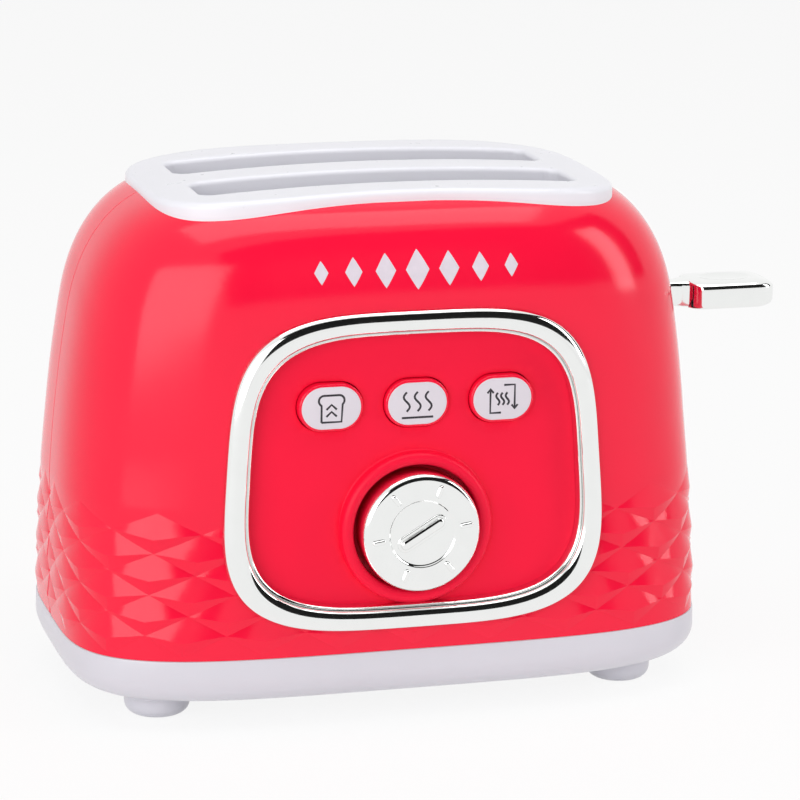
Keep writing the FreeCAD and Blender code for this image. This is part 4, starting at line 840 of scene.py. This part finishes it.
class TOASTER_OT_tray(ToasterOperator, bpy.types.Operator):
    """The pale tray with its moulded feet"""

    bl_idname = "toaster.tray"
    bl_label = "Tray"

    def execute(self, context):
        wall, form, band = Wall(), sizes("tray"), sizes("band")
        turns = wall.even_turns(wall.foot, 120)
        ring_turns = [(turn, FRONT) for turn in turns[:-1]] + [(turn, REAR) for turn in turns[:0:-1]]
        bm = bmesh.new()

        def level(height, inset):
            def spot(share):
                turn, side = ring_turns[round(share * len(ring_turns))]
                return wall.point(height, turn, inset, side, plan=wall.foot)
            return loop(bm, len(ring_turns), spot)

        start, top = form.bottom + form.round_height, wall.foot - 0.00005
        lip, thick = band.valley * 0.6, 0.0022
        floor = form.bottom + thick
        section = [(form.bottom, form.round_inset + 0.030)]
        for step in range(13):
            turn = pi / 2 * (1 - step / 12)
            inset = form.round_inset * (1 - cos(turn))
            section.append((start - form.round_height * sin(turn), inset))
        section += [
            (top - 0.0006, lip * 0.6), (top - 0.0002, lip), (top, lip + 0.0003), (top, thick + lip),
            (start, thick + 0.002), (floor, 0.012), (floor, 0.04),
        ]
        tube(bm, [level(*place) for place in section])
        for sx in (-1, 1):
            for sy in (-1, 1):
                moulded_foot(bm, form, sx * form.foot_x, sy * form.foot_y)
        piece("tray", bm, "housing", "white_tray", "base_tray", sharp=40.0)
        return {"FINISHED"}


def moulded_foot(bm, form, x, y):
    def level(height, radius):
        def spot(share):
            across, out = circle(share, radius)
            return Vector((x + across, y + out, height))
        return loop(bm, 64, spot)

    loops = [level(0.0, form.foot_flat * 0.5), level(0.0, form.foot_flat)]
    for turn in quarter(8, 1):
        out = form.foot_flat + (form.foot_radius - form.foot_flat) * sin(turn)
        loops.append(level(form.foot_round * (1 - cos(turn)), out))
    flare = 0.0018
    for turn in quarter(6, 1):
        height = form.bottom - flare + flare * sin(turn)
        loops.append(level(height, form.foot_radius + flare * (1 - cos(turn))))
    loops.append(level(form.bottom + 0.0012, form.foot_radius + flare))
    tube(bm, loops)


class TOASTER_OT_trim(ToasterOperator, bpy.types.Operator):
    """The pale arched trim round the two bread slots"""

    bl_idname = "toaster.trim"
    bl_label = "Trim"

    def execute(self, context):
        form, wall = sizes("trim"), Wall()
        roof, low, foot = wall.top + form.rise, wall.top - 0.006, wall.top - form.collar
        bm = bmesh.new()

        def edge(height, inset):
            return loop(bm, TRIM_CORNERS, lambda share: trim_edge(form, share, height, inset))

        def slot(height, inset, middle):
            width, depth = form.slot_length + 2 * inset, form.slot_width + 2 * inset

            def spot(share):
                x, y = rounded(share, width, depth, form.slot_corner + inset, SLOT_CORNERS)
                return Vector((x, middle + y, height))
            return loop(bm, SLOT_CORNERS, spot)

        outer = [edge(low, 0.0)]
        outer += [edge(roof - down, inwards) for down, inwards in rounding(form.edge, TRIM_STEPS)]
        join(bm, outer)
        upper, lower = [outer[-1]], [outer[0]]
        for middle in (-form.slot_spacing / 2, form.slot_spacing / 2):
            collar = ((low, form.collar_wall), (foot, form.collar_wall), (foot, 0.0))
            inner = [slot(height, inset, middle) for height, inset in collar]
            inner += [slot(roof - down, inwards, middle) for down, inwards in rounding(form.lip, TRIM_STEPS)]
            join(bm, inner)
            upper.append(inner[-1])
            lower.append(inner[0])
        for rims in (upper, lower):
            edges = [edge for corners in rims for edge in loop_edges(corners)]
            bmesh.ops.triangle_fill(bm, use_beauty=True, edges=edges, normal=(0, 0, 1))
        station = 0.003
        for step in range(-23, 24):
            divide(bm, (step * station, 0, 0), (1, 0, 0))
        for corner in bm.verts:
            if corner.co.z > low - 0.0001:
                corner.co.z -= form.arch * (corner.co.x / form.half_length) ** 2
        bmesh.ops.remove_doubles(bm, verts=bm.verts, dist=3e-5)
        bmesh.ops.dissolve_degenerate(bm, edges=bm.edges, dist=1e-6)
        piece("trim", bm, "housing", "white_trim", "top_trim", sharp=35.0)
        return {"FINISHED"}


TRIM_CORNERS, SLOT_CORNERS, TRIM_STEPS = 240, 96, 7


def trim_edge(form, share, height, inset):
    """A point of the trim's plan: longer than deep, flared towards its rounded ends."""
    across, out = squared(2 * pi * (share + 0.5 / TRIM_CORNERS), 2.0 / form.squareness)
    x = form.half_length * across
    reach = min(abs(x) / (0.75 * form.half_length), 1.0)
    flare = form.flare * (1.0 - cos(pi * reach)) / 2
    y = (form.half_depth + flare) * out
    return Vector((x * (1 - inset / form.half_length), y * (1 - inset / form.half_depth), height))


class TOASTER_OT_ring(ToasterOperator, bpy.types.Operator):
    """The plated ring round the control panel"""

    bl_idname = "toaster.ring"
    bl_label = "Ring"

    def execute(self, context):
        form, outline = sizes("ring"), Outline(Wall())
        bm = bmesh.new()

        def level(inset, proud):
            return loop(bm, 360, lambda share: outline.point(share, inset, proud))

        section = [(0.0011, -0.0001), (0.0005, 0.00015), (0.0001, 0.00045)]
        steps, edge_height, flatness = 14, 0.0006, 0.72
        for step in range(steps + 1):
            turn = pi * step / steps
            across = (form.band - 0.0010) * (1 - cos(turn)) / 2
            section.append((across, edge_height + (form.proud - edge_height) * sin(turn) ** flatness))
        band, behind = form.band, -form.panel_recess
        section += [
            (band - 0.0009, 0.0009), (band - 0.0005, 0.0012), (band - 0.0002, 0.0010), (band, 0.0004),
            (band, behind), (band - 0.0012, behind), (band - 0.0012, -0.0004),
            (form.window + 0.0003, -0.0004),
        ]
        loops = [level(*place) for place in section]
        join(bm, loops + loops[:1])
        piece("ring", bm, "housing", "chrome_plate", "panel_ring", sharp=50.0)
        return {"FINISHED"}


class TOASTER_OT_panel(ToasterOperator, bpy.types.Operator):
    """The red panel behind the ring, with its key windows and the collar round the dial"""

    bl_idname = "toaster.panel"
    bl_label = "Panel"

    def execute(self, context):
        form, wall = sizes("ring"), Wall()
        dial, keys = sizes("dial"), sizes("buttons")
        outline = Outline(wall)
        bm = bmesh.new()
        knob_z, key_z = form.height - dial.drop, form.height + keys.rise

        def dial_hole(share):
            x, z = circle(share, dial.collar_radius - 0.001)
            return Vector((x, 0, knob_z + z))

        rims = [loop(bm, 200, lambda share: outline.flat(share, form.window - 0.0022, 0.0))]
        rims.append(loop(bm, 96, dial_hole))
        clear, count = 0.0003, 48
        for place in (-1, 0, 1):
            def window(share, place=place):
                x, y = oblong(share + 0.5 / count, keys.length + 2 * clear, keys.height + 2 * clear)
                return Vector((place * keys.spacing + x, 0, key_z + y))
            rims.append(loop(bm, count, window))
        edges = [edge for rim in rims for edge in loop_edges(rim)]
        bmesh.ops.triangle_fill(bm, use_beauty=True, edges=edges, normal=(0, -1, 0))
        station = 0.004
        for step in range(-13, 14):
            divide(bm, (step * station, 0, 0), (1, 0, 0))
            divide(bm, (0, 0, form.height + step * station), (0, 0, 1))
        for corner in bm.verts:
            corner.co.y = -wall.face_y(corner.co.z, corner.co.x, form.panel_recess)
        panel_thick = 0.0022
        thicken(bm, panel_thick)
        bm.normal_update()
        made = piece("panel", bm, "housing", "red_panel", "front_panel", sharp=40.0)
        edge = made.modifiers.new("Eased edge", "BEVEL")
        edge.width = 0.00035
        edge.segments = 2
        edge.limit_method = "ANGLE"
        edge.angle_limit = radians(60)
        settle(made, 40.0)
        dial_collar(wall, form, dial, knob_z)
        return {"FINISHED"}


def dial_collar(wall, form, dial, knob_z):
    """The rounded collar and the well behind it, turned round the dial's axis."""
    panel_y = -wall.face_y(form.height, 0.0, form.panel_recess)
    middle = (dial.cup_radius + dial.collar_radius) / 2
    half = (dial.collar_radius - dial.cup_radius) / 2
    crest, floor = panel_y - dial.collar_rise, panel_y + dial.cup_depth
    foot_round, thick, hole = 0.0010, 0.0016, 0.0026
    outline = [(dial.collar_radius + 0.0012, panel_y + thick)]
    for turn in quarter(6):
        radius = dial.collar_radius + foot_round * (1 - sin(turn))
        outline.append((radius, panel_y + 0.0002 - foot_round * (1 - cos(turn))))
    for step in range(13):
        turn = pi * step / 12
        outline.append((middle + half * cos(turn), crest + half - half * sin(turn)))
    outline += [
        (dial.cup_radius, floor), (hole, floor), (hole, floor + thick),
        (dial.cup_radius + thick, floor + thick), outline[0],
    ]
    bm = bmesh.new()
    turned(bm, outline, (0.0, knob_z))
    piece("dial_collar", bm, "housing", "red_panel", sharp=50.0)


class TOASTER_OT_dial(ToasterOperator, bpy.types.Operator):
    """The plated dial with its bar and ticks"""

    bl_idname = "toaster.dial"
    bl_label = "Dial"

    def execute(self, context):
        form, dial = sizes("ring"), sizes("dial")
        knob_z = form.height - dial.drop
        front = -(sizes("housing").depth / 2 + dial.stand)
        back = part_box("dial_knob")[1][1]
        dish, edge, rim = front + dial.dish_depth, dial.dish_radius, dial.radius - dial.bevel
        outline = [
            (0.0, dish), (0.005, dish), (edge - 0.0009, dish), (edge - 0.0006, dish),
            (edge - 0.0003, dish - 0.00012), (edge - 0.0001, front + 0.0001), (edge + 0.0001, front),
            (edge + 0.0004, front), (rim - 0.0004, front), (rim - 0.0001, front),
        ]
        for turn in quarter(6):
            outline.append((rim + dial.bevel * sin(turn), front + dial.bevel * (1 - cos(turn))))
        skirt, hub, under = dial.radius - 0.0016, 0.0042, front + 0.0036
        outline += [
            (dial.radius + 0.0001, front + dial.bevel + 0.002), (dial.radius, back), (skirt, back),
            (skirt, under), (hub, under), (hub, back), (0.0, back),
        ]
        bm = bmesh.new()
        turned(bm, outline, (0.0, knob_z), 144)
        bar, low, foot = facing_front(0, 0, knob_z, dial.bar_turn), -dish - 0.0004, 0.0016
        slab(bm, bar, dial.bar_length, dial.bar_width, low, -dish + 0.0013, 0.0012, steps=8)
        slab(bm, bar, dial.bar_length + foot, dial.bar_width + foot, low, -dish + 0.00035, 0.0003, steps=3)
        tick_middle = Matrix.Translation(((dial.dish_radius + 0.0007 + rim) / 2, 0, 0))
        for step in range(6):
            place = facing_front(0, 0, knob_z, dial.tick_turn + radians(60 * step)) @ tick_middle
            slab(bm, place, 0.0038, 0.0015, -front - 0.0004, -front + 0.0007, 0.0005, count=32, steps=5)
        piece("dial", bm, "timer_dial", "chrome_plate", "dial_knob", sharp=38.0)
        return {"FINISHED"}


class TOASTER_OT_buttons(ToasterOperator, bpy.types.Operator):
    """The three push buttons with their pale inlays and pictograms"""

    bl_idname = "toaster.buttons"
    bl_label = "Buttons"

    def execute(self, context):
        keys, form = sizes("buttons"), sizes("ring")
        key_z = form.height + keys.rise
        drawings = {"left": bread_lines(), "middle": heat_lines(), "right": turn_lines()}
        for place, side in ((-1, "left"), (0, "middle"), (1, "right")):
            x = place * keys.spacing
            body = "button_%s_key" % side
            low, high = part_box("button_" + side)
            face_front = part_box("button_face_" + side)[0][1]
            bm = bmesh.new()
            front, middle = low[1], facing_front(x, 0, key_z)
            rim, behind = 2 * keys.flange, -front - keys.depth
            stem = keys.flange_thick - behind
            slab(bm, middle, keys.length, keys.height, behind, -front, 0.0007)
            slab(bm, middle, keys.length + rim, keys.height + rim, behind - keys.flange_thick, behind, 0.0002)
            turned(bm, [(0.0, stem), (0.0022, stem), (0.0022, high[1]), (0.0, high[1])], (x, key_z), 32)
            piece("key_" + side, bm, body, "red_shell", "button_" + side, sharp=40.0)
            bm = bmesh.new()
            length_, height = keys.length - 2 * keys.margin, keys.height - 2 * keys.margin
            slab(bm, middle, length_, height, -front - 0.0004, -face_front, 0.0003)
            piece("inlay_" + side, bm, body, "icon_face", "button_face_" + side, sharp=40.0)
            face = facing_front(x, face_front, key_z)
            strokes("pictogram_" + side, drawings[side], face, body, "icon_face", "ink")
        return {"FINISHED"}


def wave(x, low, high, sway=0.0009):
    """One rising heat line."""
    shares = [step / 12 for step in range(13)]
    return [(x + sway * sin(2 * pi * share), low + (high - low) * share) for share in shares]


def arc(cx, cy, radius, start, end):
    turns = [radians(start + (end - start) * step / 8) for step in range(9)]
    return [(cx + radius * cos(turn), cy + radius * sin(turn)) for turn in turns]


def bread_lines():
    """A slice of bread with two rising chevrons."""
    shoulder = arc(-0.0022, 0.0022, 0.0015, 230, 90)
    crust = [(-0.0029, -0.0040), (-0.0029, 0.0008)] + shoulder + [(0.0022, 0.0037)]
    crust += arc(0.0022, 0.0022, 0.0015, 90, -50)[1:] + [(0.0029, -0.0040), (-0.0029, -0.0040)]
    return [crust] + [[(-0.0015, base), (0.0, base + 0.0014), (0.0015, base)] for base in (-0.0024, -0.0004)]


def heat_lines():
    """Three heat lines over a bar."""
    lines = [wave(x, -0.0022, 0.0034) for x in (-0.0032, 0.0, 0.0032)]
    return lines + [[(-0.0046, -0.0040), (0.0046, -0.0040)]]


def turn_lines():
    """Heat lines between two brackets with arrowheads, for toasting the other side."""
    lines = [wave(x, -0.0018, 0.0018, 0.0005) for x in (-0.0014, 0.0, 0.0014)]
    half = [[(0.0004, 0.0040), (0.0036, 0.0040), (0.0036, -0.0028)]]
    half.append([(0.0045, -0.0018), (0.0036, -0.0030), (0.0027, -0.0018)])
    return lines + [[(sign * x, sign * y) for x, y in path] for sign in (-1, 1) for path in half]


PEN_WIDTH = 0.00062
PRESSED = 0.16  # thickness of a printed line as a share of its width


def strokes(name, paths, place, body, slot, material):
    """Printed lines: round pens along paths, pressed nearly flat."""
    curve = bpy.data.curves.new(name, "CURVE")
    curve.dimensions = "3D"
    curve.bevel_depth = PEN_WIDTH / 2
    curve.bevel_resolution = 3
    curve.use_fill_caps = True
    for path in paths:
        spline = curve.splines.new("POLY")
        spline.points.add(len(path) - 1)
        for point, (x, y) in zip(spline.points, path):
            point.co = (x, y, 0, 1)
    shaper = placed(name, curve)
    mesh = bpy.data.meshes.new_from_object(shaper.evaluated_get(bpy.context.evaluated_depsgraph_get()))
    bpy.data.objects.remove(shaper)
    mesh.transform(place @ Matrix.Diagonal((1, 1, PRESSED, 1)))
    smooth(mesh, 60.0)
    return dress(placed(name, mesh), body, slot, material=material)


class TOASTER_OT_lever(ToasterOperator, bpy.types.Operator):
    """The plated paddle of the side lever"""

    bl_idname = "toaster.lever"
    bl_label = "Lever"

    def execute(self, context):
        form = sizes("lever")
        low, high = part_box("lever_handle")
        middle_z = (low[2] + high[2]) / 2
        half, tall = (high[1] - low[1]) / 2, form.thick / 2
        start, end = form.paddle_start, high[0]
        bm = bmesh.new()

        def level(x, wide, tall):
            def spot(share):
                across, up = squared(2 * pi * share, 2.0 / form.squareness)
                return Vector((x, wide * across, middle_z + tall * up))
            return loop(bm, 96, spot)

        wide_neck, tall_neck, nose = 0.0046, 0.0041, 0.0070
        sections = [
            (low[0], 0.0026, 0.0034), (low[0] + 0.0004, 0.0029, 0.0037), (0.0955, 0.0030, 0.0038),
            (0.0975, 0.0038, 0.0040), (start, wide_neck, tall_neck),
        ]
        length_ = end - start
        for turn in quarter(6, 1):
            x = start + 0.0042 * (1 - cos(turn))
            wide = wide_neck + (half - wide_neck) * sin(turn)
            sections.append((x, wide, tall_neck + (tall - tall_neck) * sin(turn)))
        sections += [(start + length_ * share, half, tall) for share in (0.3, 0.5, 0.68)]
        for turn in quarter(8, 1):
            shrink = cos(turn)
            wide, deep = half * (0.32 + 0.68 * shrink ** 0.6), tall * (0.25 + 0.75 * shrink ** 0.55)
            sections.append((end - nose + nose * sin(turn), max(wide, 0.0006), max(deep, 0.0004)))
        tube(bm, [level(*section) for section in sections])
        made = piece("paddle", bm, "carriage", "chrome_plate", "lever_handle", sharp=50.0)
        dish = bmesh.new()
        bmesh.ops.create_uvsphere(dish, u_segments=64, v_segments=32, radius=1.0)
        bowl = (form.dish_length / 2, form.dish_width / 2, form.dish_depth * 1.6)
        bmesh.ops.scale(dish, verts=dish.verts, vec=bowl)
        above = middle_z + tall + form.dish_depth * 0.6
        bmesh.ops.translate(dish, verts=dish.verts, vec=(start + length_ * 0.48, 0, above))
        carve(made, [cutter(dish)], 30.0)
        return {"FINISHED"}


class TOASTER_OT_motif(ToasterOperator, bpy.types.Operator):
    """A plain printed row of lozenges over the ring"""

    bl_idname = "toaster.motif"
    bl_label = "Printed Motif"

    def execute(self, context):
        wall, form = Wall(), sizes("motif")
        bm = bmesh.new()
        for step in range(-form.each_side, form.each_side + 1):
            size = form.height / 2 * (1 - 0.55 * abs(step) / (form.each_side + 1))
            grid = bmesh.ops.create_grid(bm, x_segments=8, y_segments=24, size=1.0)["verts"]
            for corner in grid:
                up = corner.co.y
                across = step * form.spacing + form.slimness * size * corner.co.x * (1 - abs(up)) ** 0.9
                z = form.middle + size * up
                corner.co = (across, -wall.face_y(z, across) - 0.00008, z)
        bmesh.ops.remove_doubles(bm, verts=bm.verts, dist=MERGE)
        thicken(bm, 0.0002)
        piece("motif", bm, "housing", "icon_face", material="pale_ink", sharp=60.0)
        return {"FINISHED"}


class TOASTER_OT_works(ToasterOperator, bpy.types.Operator):
    """Finishes for the CAD pieces that are kept as they are"""

    bl_idname = "toaster.works"
    bl_label = "Works"

    def execute(self, context):
        slots = {part["node"]: part["material_slot"] for part in frame["record"]["subparts"]}
        for name, node in frame["nodes"].items():
            if node.type == "MESH":
                material = finish(slots[name])
                for row in node.material_slots:
                    row.material = material
        return {"FINISHED"}


# Stage


class StageSizes(bpy.types.PropertyGroup):
    azimuth: angle("Azimuth", 16.04, "Camera's turn to the left")
    elevation: angle("Elevation", 14.06, "Camera's height angle")
    roll: angle("Roll", 0.79, "Camera's lean")
    distance: length("Distance", 1067.0, "From the camera to the object's middle")
    lens: FloatProperty(name="Lens", description="Focal length on a 36 mm frame", default=161.9)
    aim_height: length("Aim height", 75.0, "Height of the point that the camera circles")
    aside: length("Aside", 10.42, "Camera's shift to the right")
    above: length("Above", 5.19, "Camera's shift upwards")


def seen_rays(tree):
    """1 for the camera's rays and for those that metal and glass send on, 0 for light on the object."""
    path = tree.add("ShaderNodeLightPath")
    rays = path.socket.node.outputs
    camera_or_glossy = path.maths("MAXIMUM", Wire(tree, rays["Is Glossy Ray"]))
    return camera_or_glossy.maths("MAXIMUM", Wire(tree, rays["Is Transmission Ray"]))


def paper(name, base, white):
    """Paper for the floor: partly glowing white where it is seen, so that it keeps a soft shadow."""
    tree = Tree(name)
    fibre = tree.noise(40.0, 4.0)
    tree.set(Base_Color=tree.vary(fibre, base, 0.995, 1.005), Roughness=0.7)
    glow = tree.add("ShaderNodeEmission", {}, Color=(1.0, 1.0, 1.0), Strength=1.0)
    lit = Wire(tree, tree.shader.outputs[0])
    mixed = tree.add("ShaderNodeMixShader", {}, seen_rays(tree) * white, lit, glow)
    tree.feed(tree.nodes["Material Output"].inputs["Surface"], mixed)
    return tree.material


class TOASTER_OT_stage(ToasterOperator, bpy.types.Operator):
    """Floor, lamps, world and camera"""

    bl_idname = "toaster.stage"
    bl_label = "Stage"

    def execute(self, context):
        lay_floor()
        cards()
        lamps()
        surround()
        camera(sizes("stage"))
        context.scene.view_settings.view_transform = "Standard"
        return {"FINISHED"}


def sheet_object(name, size_x, size_y, place, material):
    bm = bmesh.new()
    bmesh.ops.create_grid(bm, x_segments=1, y_segments=1, size=0.5)
    bmesh.ops.scale(bm, verts=bm.verts, vec=(size_x, size_y, 1))
    bmesh.ops.transform(bm, verts=bm.verts, matrix=place)
    made = linked(name, bm)
    made.data.materials.append(material)
    return made


def lay_floor():
    white = paper("floor_paper", (0.93, 0.93, 0.93), 0.88)
    sheet_object("floor", 8.0, 8.0, Matrix.Translation((0, 0, -0.0002)), white)


MIDDLE = (0.0, 0.0, 0.08)
CARDS = (  # name, place, width and height
    ("card_front", (0.6, -2.3, 1.40), 4.0, 2.6),
    ("card_right", (2.4, -0.9, 1.35), 2.6, 2.3),
)
LAMPS = (  # name, place, width, height, watts and whether polished surfaces mirror it
    ("left_box", (-1.12, -1.00, 0.50), 1.3, 1.0, 10.5, True),
    ("right_box", (1.35, -0.50, 0.60), 0.38, 1.0, 5.0, True),
    ("top_box", (0.0, -0.15, 1.35), 1.5, 0.8, 8.0, True),
    ("front_fill", (0.3, -1.9, 0.8), 1.2, 0.8, 3.5, False),
)


def aimed(place):
    """Stands at a place, facing the toaster's middle."""
    turn = (Vector(MIDDLE) - Vector(place)).to_track_quat("-Z", "Y")
    return Matrix.Translation(place) @ turn.to_matrix().to_4x4()


def cards():
    """Black cards round the camera, which only polished surfaces mirror."""
    tree = Tree("card_black")
    tree.set(Base_Color=(0.004, 0.004, 0.004), Roughness=0.9)
    for name, place, width, height in CARDS:
        made = sheet_object(name, width, height, aimed(place), tree.material)
        for rays in ("visible_camera", "visible_diffuse", "visible_shadow", "visible_transmission"):
            setattr(made, rays, False)


def lamps():
    for name, place, width, height, watts, mirrored in LAMPS:
        light = bpy.data.lights.new(name, "AREA")
        light.energy, light.shape = watts, "RECTANGLE"
        light.size, light.size_y = width, height
        made = placed(name, light)
        made.matrix_world = aimed(place)
        made.visible_glossy = mirrored


def surround():
    """A white room where it is seen, and a softer one as a light."""
    world = bpy.data.worlds.new("studio")
    bpy.context.scene.world = world
    tree = Tree("studio", world)
    tree.nodes.clear()
    soft = tree.add("ShaderNodeBackground", {}, Color=(1.0, 1.0, 1.0), Strength=0.30)
    white = tree.add("ShaderNodeBackground", {}, Color=(1.0, 1.0, 1.0), Strength=1.0)
    mixed = tree.add("ShaderNodeMixShader", {}, seen_rays(tree), soft, white)
    tree.add("ShaderNodeOutputWorld", {}, mixed)


def camera(form):
    """The photograph's view: turned round the object, leaned, then slid in its own plane."""
    az, el, roll = form.azimuth, form.elevation, form.roll
    back = Vector((-sin(az) * cos(el), -cos(az) * cos(el), sin(el)))
    right = Vector((cos(az), -sin(az), 0.0))
    up = back.cross(right)
    leaned_right = right * cos(roll) + up * sin(roll)
    leaned_up = -right * sin(roll) + up * cos(roll)
    spot = Vector((0, 0, form.aim_height)) + leaned_right * form.aside + leaned_up * form.above
    spot += back * form.distance
    data = bpy.data.cameras.new("camera")
    data.lens = form.lens
    data.sensor_width = 36.0
    data.clip_start = 0.01
    made = placed("camera", data)
    turn = Matrix((leaned_right, leaned_up, back)).transposed().to_4x4()
    made.matrix_world = Matrix.Translation(spot) @ turn
    bpy.context.scene.camera = made


# Panel and registration


STEPS = (
    TOASTER_OT_works, TOASTER_OT_housing, TOASTER_OT_tray, TOASTER_OT_trim, TOASTER_OT_ring, TOASTER_OT_panel,
    TOASTER_OT_dial, TOASTER_OT_buttons, TOASTER_OT_lever, TOASTER_OT_motif, TOASTER_OT_stage,
)
GROUPS = {
    "housing": HousingSizes, "band": BandSizes, "tray": TraySizes, "trim": TrimSizes, "ring": RingSizes,
    "dial": DialSizes, "buttons": ButtonSizes, "lever": LeverSizes, "motif": MotifSizes, "colours": Colours,
    "stage": StageSizes,
}


class TOASTER_PT_parts(bpy.types.Panel):
    """Lists the pieces in the sidebar"""

    bl_idname = "TOASTER_PT_parts"
    bl_label = "Toy Toaster"
    bl_space_type = "VIEW_3D"
    bl_region_type = "UI"
    bl_category = "Toaster"

    def draw(self, context):
        for step in STEPS:
            self.layout.operator(step.bl_idname)
        for group in GROUPS:
            box = self.layout.box()
            box.label(text=group.capitalize())
            held = getattr(context.scene, "toaster_" + group)
            for name in GROUPS[group].__annotations__:
                box.prop(held, name)


def register():
    for group, kind in GROUPS.items():
        bpy.utils.register_class(kind)
        setattr(bpy.types.Scene, "toaster_" + group, PointerProperty(type=kind))
    for kind in STEPS + (TOASTER_PT_parts,):
        bpy.utils.register_class(kind)


def unregister():
    for kind in (TOASTER_PT_parts,) + STEPS[::-1]:
        bpy.utils.unregister_class(kind)
    for group, kind in GROUPS.items():
        delattr(bpy.types.Scene, "toaster_" + group)
        bpy.utils.unregister_class(kind)


def main():
    register()
    for step in STEPS:
        group, name = step.bl_idname.split(".")
        getattr(getattr(bpy.ops, group), name)()


if __name__ == "__main__":
    main()
